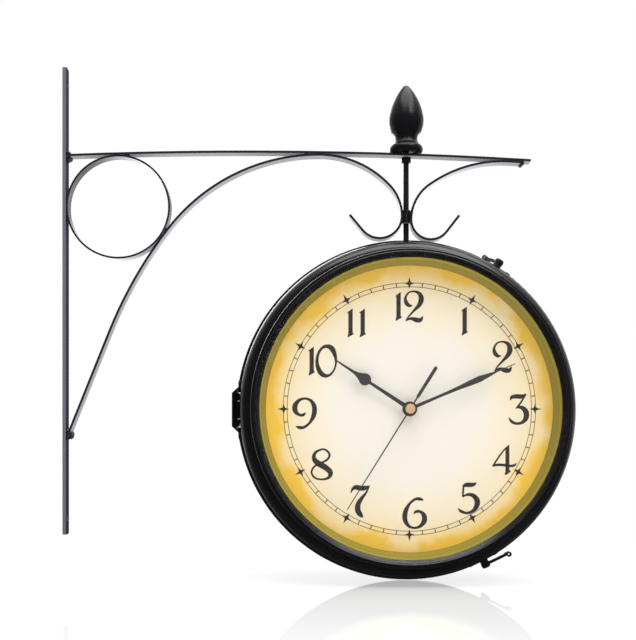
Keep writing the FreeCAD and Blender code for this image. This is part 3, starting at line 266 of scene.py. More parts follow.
class Nodes:
    """Adds nodes to a tree and joins them up. A value is a number, a colour or a socket."""

    def __init__(self, tree):
        self.tree = tree

    def feed(self, node, inputs):
        for key, value in dict(inputs).items():
            if isinstance(value, bpy.types.NodeSocket):
                self.tree.links.new(value, node.inputs[key])
            else:
                node.inputs[key].default_value = value
        return node

    def add(self, kind, inputs=(), **settings):
        node = self.tree.nodes.new(kind)
        for key, value in settings.items():
            setattr(node, key, value)
        return self.feed(node, inputs)

    def math(self, operation, *values, clamp=False):
        return self.add("ShaderNodeMath", enumerate(values), operation=operation,
                        use_clamp=clamp).outputs[0]

    def times(self, first, second, clamp=False):
        return self.math("MULTIPLY", first, second, clamp=clamp)

    def plus(self, first, second, clamp=False):
        return self.math("ADD", first, second, clamp=clamp)

    def highest(self, first, second):
        return self.math("MAXIMUM", first, second)

    def scaled(self, value, gain, start, clamp=False):
        """value * gain + start"""
        return self.math("MULTIPLY_ADD", value, gain, start, clamp=clamp)

    def above(self, value, floor, gain):
        """(value - floor) * gain, kept between 0 and 1."""
        return self.times(self.math("SUBTRACT", value, floor), gain, True)

    def waver(self, noise, reach):
        """A noise about zero, from -reach / 2 to reach / 2."""
        return self.times(self.math("SUBTRACT", noise, 0.5), reach)

    def vector(self, operation, first, second=(0.0, 0.0, 0.0)):
        node = self.add("ShaderNodeVectorMath", {0: first, 1: second}, operation=operation)
        return node.outputs["Value" if operation in ("LENGTH", "DISTANCE") else "Vector"]

    def part(self, vector, axis):
        return self.add("ShaderNodeSeparateXYZ", {0: vector}).outputs[axis]

    def ramp(self, value, stops, interpolation="LINEAR"):
        node = self.add("ShaderNodeValToRGB", {"Fac": value})
        band = node.color_ramp
        band.interpolation = interpolation
        while len(band.elements) < len(stops):
            band.elements.new(0.5)
        for element, (place, colour) in zip(band.elements, stops):
            element.position = place
            element.color = (*colour, 1.0)
        return node.outputs["Color"]

    def mix(self, factor, first, second):
        """Mixes two colours, each a socket or three numbers."""
        first, second = (value if isinstance(value, bpy.types.NodeSocket) else (*value, 1.0)
                         for value in (first, second))
        return self.add("ShaderNodeMix", {0: factor, 6: first, 7: second},
                        data_type="RGBA").outputs[2]

    def noise(self, coords, scale, detail, roughness, distortion=0.0):
        node = self.add("ShaderNodeTexNoise", {"Vector": coords, "Scale": scale, "Detail": detail,
                                               "Roughness": roughness, "Distortion": distortion})
        return node.outputs["Fac"]

    def rays(self):
        """The kinds of ray, and a mask of those that look straight or through glass."""
        path = self.add("ShaderNodeLightPath").outputs
        return path, self.highest(path["Is Camera Ray"], path["Is Transmission Ray"])


def new_group(name, inputs, outputs):
    """A node group with named sockets, and its input and output nodes."""
    group = bpy.data.node_groups.new(name, "ShaderNodeTree")
    for label, kind, default in inputs:
        socket = group.interface.new_socket(label, in_out="INPUT", socket_type=kind)
        socket.default_value = default
    for label, kind in outputs:
        group.interface.new_socket(label, in_out="OUTPUT", socket_type=kind)
    nodes = Nodes(group)
    return group, nodes, nodes.add("NodeGroupInput").outputs, nodes.add("NodeGroupOutput")


def paint_surface_group():
    """Fine orange peel, brushed dust and a slightly uneven gloss."""
    group, n, given, out = new_group(
        "Painted surface",
        (("Coordinates", "NodeSocketVector", (0, 0, 0)),
         ("Colour", "NodeSocketColor", (0, 0, 0, 1)),
         ("Dust colour", "NodeSocketColor", (0.2, 0.2, 0.2, 1)), ("Dust", "NodeSocketFloat", 0.1),
         ("Roughness", "NodeSocketFloat", 0.35)),
        (("Colour", "NodeSocketColor"), ("Roughness", "NodeSocketFloat"),
         ("Height", "NodeSocketFloat")))
    coords = given["Coordinates"]
    cloud = n.noise(coords, 38.0, 5.0, 0.6)
    speck = n.noise(coords, 900.0, 2.0, 0.6)
    peel = n.noise(coords, 420.0, 2.0, 0.45)
    settled = n.plus(n.above(cloud, 0.42, 2.2), 0.35)
    grit = n.scaled(n.above(speck, 0.56, 5.0), 0.6, 0.5, True)
    amount = n.times(n.times(grit, given["Dust"]), settled)
    most = n.math("MINIMUM", amount, 0.6)
    rough = n.plus(given["Roughness"], n.waver(cloud, 0.16))
    n.feed(out, {"Colour": n.mix(most, given["Colour"], given["Dust colour"]),
                 "Roughness": n.plus(rough, n.times(amount, 0.3)),
                 "Height": n.plus(peel, n.times(speck, 0.25))})
    return group


def turned_lines_group():
    """Fine circles that a lathe or brush leaves round the clock's axis, and a tarnish mask."""
    group, n, given, out = new_group(
        "Turned lines",
        (("Coordinates", "NodeSocketVector", (0, 0, 0)), ("Pitch", "NodeSocketFloat", 900.0)),
        (("Height", "NodeSocketFloat"), ("Tarnish", "NodeSocketFloat")))
    radius = n.vector("LENGTH", n.vector("MULTIPLY", given["Coordinates"], IN_DIAL_PLANE))
    line = n.add("ShaderNodeCombineXYZ", {"X": n.times(radius, given["Pitch"])}).outputs[0]
    n.feed(out, {"Height": n.noise(line, 4.0, 3.0, 0.7),
                 "Tarnish": n.noise(given["Coordinates"], 260.0, 4.0, 0.6)})
    return group


def centred_coordinates(n, centre=(0.0, 0.0, 0.0)):
    """Object coordinates counted from a point of the frame."""
    return n.vector("SUBTRACT", n.add("ShaderNodeTexCoord").outputs["Object"], centre)


def new_material(name):
    material = bpy.data.materials.new(name)
    material.use_nodes = True
    material.node_tree.nodes.clear()
    n = Nodes(material.node_tree)
    shader = n.add("ShaderNodeBsdfPrincipled")
    out = n.add("ShaderNodeOutputMaterial", {"Surface": shader.outputs[0]})
    MATERIALS[name] = material
    return n, shader, out


def bump(n, shader, height, strength, distance):
    node = n.add("ShaderNodeBump", {"Height": height, "Strength": strength, "Distance": distance})
    n.feed(shader, {"Normal": node.outputs[0]})


# --- materials --------------------------------------------------------------------------
# Painted light: the lighter colour of faces towards the room's front, -y.
PAINTED_FRONT_LIGHT = (0.15, 0.145, 0.185)
# Painted reflection of the floor on undersides seen edge on, and its painted glow.
PAINTED_UNDERSIDE_REFLECTION = (0.8, 0.78, 0.87)
PAINTED_UNDERSIDE_GLOW = (0.9, 0.88, 1.0)
PAINTED_GLOW_STRENGTH = 0.45
COAT_ROUGHNESS = 0.12
# Gold clouds on a dial: clock angle in degrees, distance out and size in mm, weight.
AGED_PATCHES = ((262.0, 96.0, 34.0, 0.15), (238.0, 98.0, 26.0, 0.16), (318.0, 99.0, 26.0, 0.15),
                (345.0, 97.0, 20.0, 0.07), (196.0, 99.0, 30.0, 0.17), (165.0, 98.0, 30.0, 0.13),
                (121.0, 99.0, 22.0, 0.16), (58.0, 99.0, 24.0, 0.13), (290.0, 100.0, 16.0, 0.1),
                (20.0, 99.0, 18.0, 0.07), (92.0, 100.0, 18.0, 0.07))
PAPER_FIBRE = (0.6, 0.5, 0.36)
CARD_BACK = ((0.5, 0.49, 0.46), (0.4, 0.38, 0.35))
CELL_METAL, CELL_BLACK, CELL_COPPER = (0.55, 0.55, 0.56), (0.03, 0.03, 0.035), (0.5, 0.32, 0.1)


def painted(name, colour, dust_colour, roughness, dust, peel=0.000012, specular=0.4, coat=0.0,
            painted_sheen=0.0, front=0.0):
    """Paint over steel; sheen paints in a reflection of the floor, a lilac-white colour and a glow
    on undersides seen edge on; front paints in light, a lighter colour on faces towards -y."""
    n, shader, _ = new_material(name)
    surface = n.add("ShaderNodeGroup", {
        "Coordinates": centred_coordinates(n), "Colour": (*colour, 1.0),
        "Dust colour": (*dust_colour, 1.0), "Dust": dust, "Roughness": roughness},
        node_tree=GROUPS["paint"]).outputs
    # Painted reflection: undersides seen edge on turn lilac-white, standing in for the floor's
    # reflection.
    grazing = n.add("ShaderNodeLayerWeight", {"Blend": 0.5}).outputs["Facing"]
    normal = n.add("ShaderNodeNewGeometry").outputs["Normal"]
    under = n.times(n.part(normal, "Z"), -1.6, True)
    painted_reflection_mask = n.times(n.times(n.above(grazing, 0.68, 4.5), under), painted_sheen)
    # Painted light: faces towards -y get a lighter colour, as if lit from the room's front.
    painted_front_light_mask = n.times(n.part(normal, "Y"), -front, True)
    ground = n.mix(painted_front_light_mask, surface["Colour"], PAINTED_FRONT_LIGHT)
    n.feed(shader, {"Base Color": n.mix(painted_reflection_mask, ground, PAINTED_UNDERSIDE_REFLECTION),
                    "Roughness": surface["Roughness"], "Specular IOR Level": specular,
                    "Coat Weight": coat, "Coat Roughness": COAT_ROUGHNESS})
    # Painted glow on those undersides, though they are no lamp.
    if painted_sheen:
        n.feed(shader, {"Emission Color": n.mix(painted_reflection_mask, (0.0, 0.0, 0.0), PAINTED_UNDERSIDE_GLOW),
                        "Emission Strength": PAINTED_GLOW_STRENGTH})
    bump(n, shader, surface["Height"], 0.5, peel)


def paint_shade_on_trim_ring(material, colour):
    """Paints shade into the trim ring: painted shadow at its foot by the dial, a painted shade line
    further up and painted light above it.
    """
    n = Nodes(material.node_tree)
    shader = next(node for node in material.node_tree.nodes if node.type == "BSDF_PRINCIPLED")
    paint = shader.inputs["Base Color"].links[0].from_socket
    depth = n.math("ABSOLUTE", n.part(centred_coordinates(n), "Y"))
    rise = n.math("DIVIDE", n.math("SUBTRACT", depth, DIAL_PRINT_DEPTH), TRIM_RISE, clamp=True)
    # Painted shade at the foot and in one line, painted light on the band above that line.
    painted_shade, painted_light = tuple(c * 0.3 for c in colour), tuple(c * 1.25 for c in colour)
    tone = n.ramp(rise, ((0.0, painted_shade), (0.07, colour), (0.56, colour), (0.61, painted_shade),
                         (0.66, painted_light), (1.0, painted_light)))
    n.feed(shader, {"Base Color": n.mix(0.75, paint, tone)})


def plated(name, colour, roughness, metallic=1.0, tarnish_colour=(0.2, 0.19, 0.18), pitch=900.0,
           centre=(0.0, 0.0, 0.0), lines=0.000006):
    n, shader, _ = new_material(name)
    lathe = n.add("ShaderNodeGroup", {"Coordinates": centred_coordinates(n, centre),
                                      "Pitch": pitch}, node_tree=GROUPS["turned"]).outputs
    mask = n.above(lathe["Tarnish"], 0.5, 1.6)
    n.feed(shader, {"Base Color": n.mix(mask, colour, tarnish_colour),
                    "Roughness": n.scaled(mask, 0.4, roughness), "Metallic": metallic})
    bump(n, shader, lathe["Height"], 0.6, lines)


def dial_ground(side, settings):
    """Aged paper: cream in the middle, clouding through peach to gold patches at the rim; the
    brighter rim colours are partly painted light against the bezel's shade.
    """
    n, shader, _ = new_material(side + " dial paper")
    coords = centred_coordinates(n, (CLOCK_X, 0.0, CLOCK_Z))
    if side == "rear":
        coords = n.vector("MULTIPLY", coords, (-1.0, -1.0, 1.0))
    flat = n.vector("MULTIPLY", coords, IN_DIAL_PLANE)
    cloud = n.noise(flat, 24.0, 5.0, 0.55, 0.4)
    wisps = n.noise(flat, 75.0, 6.0, 0.62, 0.8)
    fibre = n.noise(coords, 1300.0, 2.0, 0.6)
    reach = n.times(n.vector("LENGTH", flat), 10.0)  # 1 at 100 mm from the middle
    patches = 0.0
    for angle, at, size, weight in AGED_PATCHES:
        turn = math.radians(angle)
        spot = (at * MM * math.sin(turn), 0.0, at * MM * math.cos(turn))
        near = n.scaled(n.vector("DISTANCE", flat, spot), -1.0 / (size * MM), 1.0, True)
        patches = n.plus(patches, n.times(n.times(near, near), weight))
    drift = n.plus(n.waver(cloud, 0.34), n.waver(wisps, 0.16))
    rim = n.plus(n.math("SUBTRACT", reach, 0.4, clamp=True), 0.3)
    age = n.plus(reach, n.times(drift, rim))
    age = n.plus(age, n.times(patches, n.plus(wisps, 0.35)))
    # The ramp is partly real ageing and partly painted light, brighter towards the rim against the
    # bezel's shade.
    half_way = tuple(c * 0.45 + p * 0.55 for c, p in zip(settings.cream, settings.peach))
    ground = n.ramp(n.times(age, 0.8), ((0.0, settings.cream), (0.38, settings.cream),
                                        (0.66, half_way), (0.73, settings.peach),
                                        (0.805, settings.gold)))
    ground = n.mix(n.above(fibre, 0.5, 0.1), ground, PAPER_FIBRE)
    depth = n.math("ABSOLUTE", n.part(coords, "Y"))
    printed = n.math("GREATER_THAN", depth, DIAL_PRINT_DEPTH - 0.1 * MM)
    card = n.mix(n.times(wisps, 0.4), *CARD_BACK)
    n.feed(shader, {"Base Color": n.mix(printed, card, ground),
                    "Roughness": n.scaled(wisps, 0.12, 0.55), "Specular IOR Level": 0.2})
    bump(n, shader, fibre, 0.25, 0.00001)


def clear_glass(name):
    """Window glass that lets light through to the dial."""
    n, shader, out = new_material(name)
    smear = n.noise(centred_coordinates(n), 30.0, 4.0, 0.6)
    n.feed(shader, {"Base Color": (0.99, 0.985, 0.985, 1.0), "Transmission Weight": 1.0,
                    "IOR": 1.46, "Roughness": n.above(smear, 0.45, 0.05)})
    through = n.add("ShaderNodeBsdfTransparent", {"Color": (0.985, 0.98, 0.975, 1.0)})
    path = n.add("ShaderNodeLightPath").outputs
    passing = n.highest(path["Is Shadow Ray"], path["Is Diffuse Ray"])
    mixed = n.add("ShaderNodeMixShader", {0: passing, 1: shader.outputs[0], 2: through.outputs[0]})
    n.feed(out, {"Surface": mixed.outputs[0]})


def moulded(name, colour, roughness, grain=700.0, depth=0.00003):
    n, shader, _ = new_material(name)
    coords = centred_coordinates(n)
    spark = n.noise(coords, grain, 3.0, 0.6)
    cloud = n.noise(coords, 60.0, 3.0, 0.5)
    tone = tuple(min(1.0, c * 1.5 + 0.01) for c in colour)
    n.feed(shader, {"Base Color": n.mix(n.times(cloud, 0.5), colour, tone),
                    "Roughness": n.scaled(spark, 0.2, roughness)})
    bump(n, shader, spark, 0.5, depth)


def cell_sleeve(name):
    """Plain two-tone sleeve of a round cell, with bare metal at both ends."""
    n, shader, _ = new_material(name)
    coords = centred_coordinates(n, (CLOCK_X, 0.0, 0.0))
    along = n.scaled(n.part(coords, "X"), 18.0, 0.5)
    band = n.ramp(along, ((0.0, CELL_METAL), (0.06, CELL_BLACK), (0.62, CELL_BLACK),
                          (0.63, CELL_COPPER), (0.93, CELL_COPPER), (0.94, CELL_METAL)),
                  "CONSTANT")
    scuff = n.noise(coords, 300.0, 4.0, 0.6)
    n.feed(shader, {"Base Color": n.mix(n.times(scuff, 0.25), band, (0.3, 0.3, 0.31)),
                    "Roughness": n.scaled(scuff, 0.25, 0.22), "Metallic": 0.6})
    bump(n, shader, scuff, 0.3, 0.00001)


def make_materials(scene):
    paint, dial, metal = scene.clock_paint, scene.clock_dial, scene.clock_metal
    case, strip, dust = paint.case_black, paint.strip_black, paint.dust
    GROUPS["paint"] = paint_surface_group()
    GROUPS["turned"] = turned_lines_group()
    painted("case paint", case, dust, paint.case_roughness, 0.03, 0.000004, coat=0.05)
    # Strips: painted reflection and painted glow on their undersides, and a little painted light on
    # faces towards -y.
    painted("strip paint", strip, dust, paint.strip_roughness, 0.05, 0.000005, 0.25,
            painted_sheen=0.9, front=0.04)
    # Wall plate: painted light on its faces towards -y.
    painted("plate paint", strip, dust, 0.6, 0.05, 0.000005, 0.08, front=0.85)
    painted("finial paint", case, dust, 0.26, 0.02, specular=0.22)
    painted("weld paint", strip, dust, 0.42, 0.12, 0.00006)
    painted("fitting paint", case, dust, 0.34, 0.12, 0.00002)
    painted("hand paint", metal.hand_black, dust, 0.4, 0.05, 0.000006, 0.35)
    painted("dial ink", dial.ink, (0.2, 0.14, 0.08), 0.6, 0.04, 0.000006, 0.15)
    painted("trim paint", dial.trim, (0.4, 0.35, 0.14), 0.45, 0.05, 0.000008, 0.2)
    # Painted shadow at the trim ring's foot and in one line, painted light above it.
    paint_shade_on_trim_ring(MATERIALS["trim paint"], tuple(dial.trim))
    plated("brass", metal.brass, 0.3, tarnish_colour=(0.4, 0.24, 0.12), pitch=1500.0,
           centre=(CLOCK_X, 0.0, CLOCK_Z), lines=0.00002)
    plated("zinc plate", metal.zinc, 0.32)
    plated("blacked steel", (0.05, 0.048, 0.052), 0.38, 0.6, (0.02, 0.02, 0.02))
    for side in SIDES:
        dial_ground(side, dial)
    clear_glass("window glass")
    moulded("movement plastic", (0.016, 0.016, 0.018), 0.45)
    moulded("knob plastic", (0.05, 0.05, 0.054), 0.4)
    moulded("gasket rubber", (0.02, 0.02, 0.02), 0.7, 1400.0, 0.00005)
    cell_sleeve("cell sleeve")


# --- bracket ----------------------------------------------------------------------------
def finish_strips(edge_round):
    """Rounds the straight bars' cut edges; the bent strips keep their sharp ones."""
    for node, material in (("wall_plate", "plate paint"), ("arm", "strip paint"),
                           ("rod_guide", "strip paint")):
        finish_rounded(node, "bracket", material, "black_strip", edge_round)
    for node in ("brace_scroll", "tip_scroll", "ring"):
        finish_smooth(node, "bracket", "strip paint", "black_strip", 30.0)


WELD_SKIN = 0.00035  # cell of the fine skin
RIPPLE_SIZE, RIPPLE_HEIGHT, RIPPLE_MIDDLE = 0.0016, 0.0013, 0.3


def finish_welds():
    """Lumpy beads: each weld is a fine skin over its solid, pushed out and in by ripples."""
    bead = copy_node("bracket_welds", "weld_beads")
    apply_modifier(bead, "REMESH", mode="VOXEL", voxel_size=WELD_SKIN)
    ripple = bpy.data.textures.new("weld ripple", "CLOUDS")
    ripple.noise_scale = RIPPLE_SIZE
    ripple.noise_depth = 2
    apply_modifier(bead, "DISPLACE", texture=ripple, strength=RIPPLE_HEIGHT,
                   mid_level=RIPPLE_MIDDLE)
    smooth(bead, 60.0)
    dress(bead, "bracket", "weld paint", "weld_metal", "bracket_welds")


# --- turned pieces ----------------------------------------------------------------------
BEZEL_STEPS = 192
BEZEL_SOFTEN = 0.35  # corner rounding of the bezel's outline, in mm
# The bezel's outline above its foot, in mm in from the bead and down from the crest: bead,
# groove, crest, inward bevel, glass lip and shelf, and the neck's inner wall.
BEZEL_TOP = ((0.0, 3.2), (0.25, 1.6), (1.1, 1.05), (1.75, 1.55), (2.05, 0.8), (2.7, 0.05),
             (3.4, 0.35), (3.75, 0.95), (4.1, 0.95), (6.2, 3.55), (6.3, 3.9), (6.3, 4.2),
             (4.2, 4.2), (4.2, 7.4), (1.4, 16.0))
FOOT_OUT, FOOT_HEIGHT, FOOT_TOP = 0.55, 1.15, 1.8


def spin_profile(name, points, steps):
    """Turns a closed outline of (radius, depth) about the front dial's axis, in the row frame."""
    mesh = bpy.data.meshes.new(name)
    corners = [(CLOCK_X + radius, -depth, CLOCK_Z) for radius, depth in points]
    edges = [(i, (i + 1) % len(corners)) for i in range(len(corners))]
    mesh.from_pydata(corners, edges, [])
    obj = object_from(mesh, name)
    edit_mesh(obj)
    bpy.ops.mesh.spin(steps=steps, angle=math.tau, center=(CLOCK_X, 0.0, CLOCK_Z), axis=(0, 1, 0))
    bpy.ops.mesh.select_all(action="SELECT")
    bpy.ops.mesh.remove_doubles(threshold=SPIN_MERGE)
    bpy.ops.mesh.normals_make_consistent(inside=False)
    end_edit()
    return obj


def rounded(points, radius, cuts=3):
    """An outline in millimetres whose corners are rounded, returned in metres."""
    result = []
    count = len(points)
    for i, here in enumerate(points):
        here = Vector(here)
        before = Vector(points[i - 1]) - here
        after = Vector(points[(i + 1) % count]) - here
        reach = min(radius, before.length * 0.45, after.length * 0.45)
        first = here + before.normalized() * reach
        last = here + after.normalized() * reach
        for k in range(cuts + 1):
            t = k / cuts
            curve = first * (1 - t) ** 2 + here * 2 * t * (1 - t) + last * t ** 2
            result.append((curve.x * MM, curve.y * MM))
    return result


def bezel_outline():
    """Rolled foot, plain wall, outer bead, groove, crest and inward bevel to the glass lip."""
    radius, crest, back = BEZEL_R / MM, BEZEL_CREST / MM, BEZEL_BACK / MM
    top = [(radius - inward, crest - down) for inward, down in BEZEL_TOP]
    return [(top[-1][0], back), (radius + FOOT_OUT, back), (radius + FOOT_OUT, back + FOOT_HEIGHT),
            (radius, back + FOOT_TOP)] + top


def finish_bezel(side):
    obj = spin_profile(side + "_bezel_turned", rounded(bezel_outline(), BEZEL_SOFTEN), BEZEL_STEPS)
    obj.data.transform(side_turn(side))
    smooth(obj, 50.0)
    dress(obj, body_of_side(side), "case paint", "black_case", side + "_bezel")


def finish_case(side):
    obj = copy_node(side + "_case", side + "_case_pressed")
    apply_modifier(obj, "BEVEL", width=SMALL_ROUND, segments=2, limit_method="ANGLE",
                   angle_limit=math.radians(40.0), use_clamp_overlap=True)
    smooth(obj, 36.0)
    dress(obj, body_of_side(side), "case paint", "black_case", side + "_case")


# --- dial print -------------------------------------------------------------------------
# Numeral strokes, millimetres from each figure's middle: (across, up, stroke width).
STEM = ((1.6, 10.1), (-2.4, 7.2), (-1.45, 6.5), (-1.45, -7.2), (-2.1, -9.6), (-1.8, -10.2),
        (2.4, -7.8), (1.55, -6.6))
FOUR_STEM = ((3.7, 10.7), (0.3, 7.7), (1.0, 6.7), (0.95, -8.5), (0.3, -10.2), (1.2, -10.9),
             (4.9, -8.2), (3.75, -7.1))
FIGURES = {
    "0": [((0.4, 10.3, 1.9), (3.9, 8.7, 2.8), (6.0, 4.4, 2.0), (6.8, -1.0, 1.0), (5.4, -6.4, 0.9),
        (2.0, -10.0, 1.3), (-1.8, -9.9, 2.3), (-4.8, -6.8, 2.5), (-6.4, -1.0, 1.7),
        (-5.6, 4.8, 1.3), (-3.0, 8.9, 1.3), (0.4, 10.3, 1.9))],
    "1": [STEM],
    "2": [((-0.8, 0.6, 0.3), (-3.1, 0.5, 1.7), (-5.2, 2.6, 2.1), (-5.7, 6.0, 1.2), (-3.5, 9.5, 0.8),
        (0.4, 10.4, 0.9), (4.0, 8.8, 2.0), (5.3, 5.2, 2.8), (4.0, 1.2, 2.3), (0.2, -3.0, 1.2),
        (-3.4, -7.0, 0.7), (-5.4, -10.2, 0.5)), ((-5.4, -10.2, 0.4), (-3.4, -8.9, 1.0),
        (-1.0, -8.6, 1.7), (1.8, -9.5, 2.5), (4.4, -9.6, 2.3), (5.8, -8.2, 1.2), (6.4, -7.0, 0.4))],
    "3": [((-5.7, 6.1, 0.4), (-4.6, 8.2, 1.7), (-1.6, 8.8, 2.3), (1.9, 8.7, 2.3), (4.3, 9.5, 1.5),
        (5.2, 10.8, 0.3)), ((4.3, 8.8, 0.7), (2.0, 5.0, 0.8), (-0.7, 1.3, 0.9)), ((-2.0, 0.5, 0.4),
        (0.6, 1.3, 1.5), (3.6, 0.2, 2.4), (5.5, -2.8, 3.0), (5.1, -6.6, 2.6), (2.4, -9.5, 1.5),
        (-1.6, -10.1, 1.3), (-4.8, -8.6, 1.4), (-6.5, -6.1, 0.4))],
    "4": [FOUR_STEM, ((1.0, 8.0, 0.6), (-3.0, 2.8, 0.8), (-7.6, -4.2, 0.8)), ((-8.1, -4.8, 0.5),
        (-5.2, -3.7, 1.2), (-1.0, -3.7, 1.3), (3.4, -4.3, 1.2), (6.6, -4.2, 1.2),
        (8.7, -2.7, 0.4))],
    "5": [((-4.0, 8.0, 1.0), (-1.4, 9.1, 2.3), (1.8, 9.1, 2.3), (4.2, 9.7, 1.5), (5.3, 10.9, 0.3)),
        ((-3.4, 8.9, 0.9), (-3.7, 4.6, 0.9), (-4.0, 0.9, 0.8)), ((-4.2, 0.7, 0.5), (-0.8, 2.3, 1.3),
        (3.0, 1.8, 2.1), (5.9, -1.4, 2.9), (5.7, -5.6, 2.7), (3.0, -9.1, 1.7), (-1.2, -10.5, 1.3),
        (-5.0, -9.4, 1.4), (-7.3, -7.3, 0.4))],
    "6": [((6.1, 9.0, 0.3), (3.8, 9.8, 1.6), (0.6, 9.8, 1.4), (-3.6, 6.6, 1.3), (-6.5, 1.0, 2.5),
        (-6.8, -4.6, 2.5), (-4.4, -8.8, 1.6), (-0.6, -10.3, 1.1), (3.6, -9.2, 1.6),
        (6.5, -5.6, 2.7), (6.4, -1.6, 2.5), (3.8, 1.0, 1.4), (1.0, 1.1, 1.5), (-0.8, -0.5, 0.3))],
    "7": [((-6.5, 6.0, 0.4), (-5.3, 8.6, 1.3), (-3.0, 9.9, 2.5), (0.4, 9.3, 2.7), (3.6, 9.5, 2.3),
        (6.7, 10.9, 0.4)), ((6.1, 10.1, 0.5), (3.9, 5.8, 1.0), (1.0, 2.2, 1.9), (-1.5, -2.2, 2.7),
        (-1.6, -6.2, 3.0), (0.2, -9.2, 2.5), (1.9, -10.9, 0.8))],
    "8": [((0.2, 10.4, 0.9), (-4.2, 8.2, 1.4), (-5.4, 4.4, 2.2), (-2.8, 0.9, 3.1), (2.6, -2.2, 3.1),
        (6.1, -5.7, 2.7), (5.0, -9.2, 1.5), (0.4, -10.6, 0.9), (-4.8, -9.4, 0.9), (-7.0, -5.6, 0.9),
        (-5.2, -1.8, 0.9), (-0.6, 0.8, 0.9), (4.0, 3.3, 1.0), (5.5, 6.6, 1.1), (3.6, 9.5, 1.0),
        (0.2, 10.4, 0.9))],
}
# Each printed figure, and its middle on the dial.
PRINTED = (("1", 38.5, 61.4), ("2", 64.8, 36.5), ("3", 76.0, 0.0), ("4", 66.0, -35.3),
           ("5", 41.2, -62.0), ("6", 3.8, -72.6), ("7", -34.3, -64.5), ("8", -61.2, -38.5),
           ("9", -73.1, -3.0), ("1", -68.2, 33.5), ("0", -58.0, 33.5), ("1", -41.1, 60.1),
           ("1", -32.6, 60.1), ("1", -7.6, 71.6), ("2", 3.0, 71.6))
STROKE_GAIN, STROKE_MORE = 1.24, 0.22  # printed width = gain * drawn width + more, in mm
PRINT_LIFT = 0.00001
TICK_GAIN = 1.7  # a minute's tick against the ring's lines
STAR_LONG, STAR_SHORT, STAR_HOLLOW, STAR_OUT = 0.0045, 0.0034, 0.0013, 0.001


def spline_point(points, i, t):
    """Catmull-Rom between points i and i + 1; works on any tuples of numbers."""
    last = len(points) - 1
    closed = points[0] == points[last]
    before = points[i - 1] if i > 0 else (points[last - 1] if closed else points[0])
    after = points[i + 2] if i + 2 <= last else (points[1] if closed else points[last])
    here, there = points[i], points[i + 1]
    return tuple(0.5 * (2 * b + (c - a) * t + (2 * a - 5 * b + 4 * c - d) * t * t
                        + (3 * b - a - 3 * c + d) * t ** 3)
                 for a, b, c, d in zip(before, here, there, after))


def brush_stroke(bm, points, offset, height, cuts=7):
    """A ribbon of changing width along a smooth path."""
    line = []
    for i in range(len(points) - 1):
        line += [spline_point(points, i, k / cuts) for k in range(cuts)]
    line.append(points[-1])
    pairs = []
    for k, (x, y, width) in enumerate(line):
        ahead = line[min(k + 1, len(line) - 1)]
        behind = line[max(k - 1, 0)]
        run = Vector((ahead[0] - behind[0], ahead[1] - behind[1]))
        side = Vector((-run.y, run.x)).normalized() * (width * STROKE_GAIN + STROKE_MORE) / 2
        middle = Vector((x, y)) + Vector(offset)
        pairs.append([bm.verts.new(((middle + s * side).x * MM, (middle + s * side).y * MM, height))
                      for s in (1, -1)])
    for first, second in zip(pairs, pairs[1:]):
        bm.faces.new((first[1], second[1], second[0], first[0]))


def flat_face(bm, corners, height):
    bm.faces.new([bm.verts.new((x, y, height)) for x, y in corners])


def draw_figure(bm, figure, offset, height):
    """A nine is a six turned half round; strokes of two numbers a point are outlines."""
    turned = -1 if figure == "9" else 1
    for stroke in FIGURES["6" if figure == "9" else figure]:
        if len(stroke[0]) == 2:
            flat_face(bm, [((x + offset[0]) * MM, (y + offset[1]) * MM) for x, y in stroke], height)
        else:
            path = tuple((turned * x, turned * y, width) for x, y, width in stroke)
            brush_stroke(bm, path, offset, height)


def draw_circle(bm, radius, width, height, steps=180):
    rings = []
    for k in range(steps):
        turn = math.tau * k / steps
        rings.append([bm.verts.new((r * math.sin(turn), r * math.cos(turn), height))
                      for r in (radius - width / 2, radius + width / 2)])
    for near, far in zip(rings, rings[1:] + rings[:1]):
        bm.faces.new((near[0], far[0], far[1], near[1]))


def dial_directions(turn):
    """Outwards and clockwise at an angle from twelve o'clock."""
    out = Vector((math.sin(turn), math.cos(turn)))
    return out, Vector((out.y, -out.x))


def draw_tick(bm, turn, inner, outer, width, height):
    out, across = dial_directions(turn)
    across *= width / 2
    flat_face(bm, (out * inner - across, out * outer - across, out * outer + across,
                   out * inner + across), height)


def draw_star(bm, turn, middle, height):
    """Four-pointed spear mark with hollow sides, its long point outwards."""
    out, across = dial_directions(turn)
    centre = out * middle
    tips = (out * STAR_LONG, across * STAR_SHORT, out * -STAR_LONG * 0.85, across * -STAR_SHORT)
    corners = []
    for tip, following in zip(tips, tips[1:] + tips[:1]):
        between = (tip.normalized() + following.normalized()).normalized() * STAR_HOLLOW
        corners += [centre + tip, centre + between]
    flat_face(bm, reversed(corners), height)


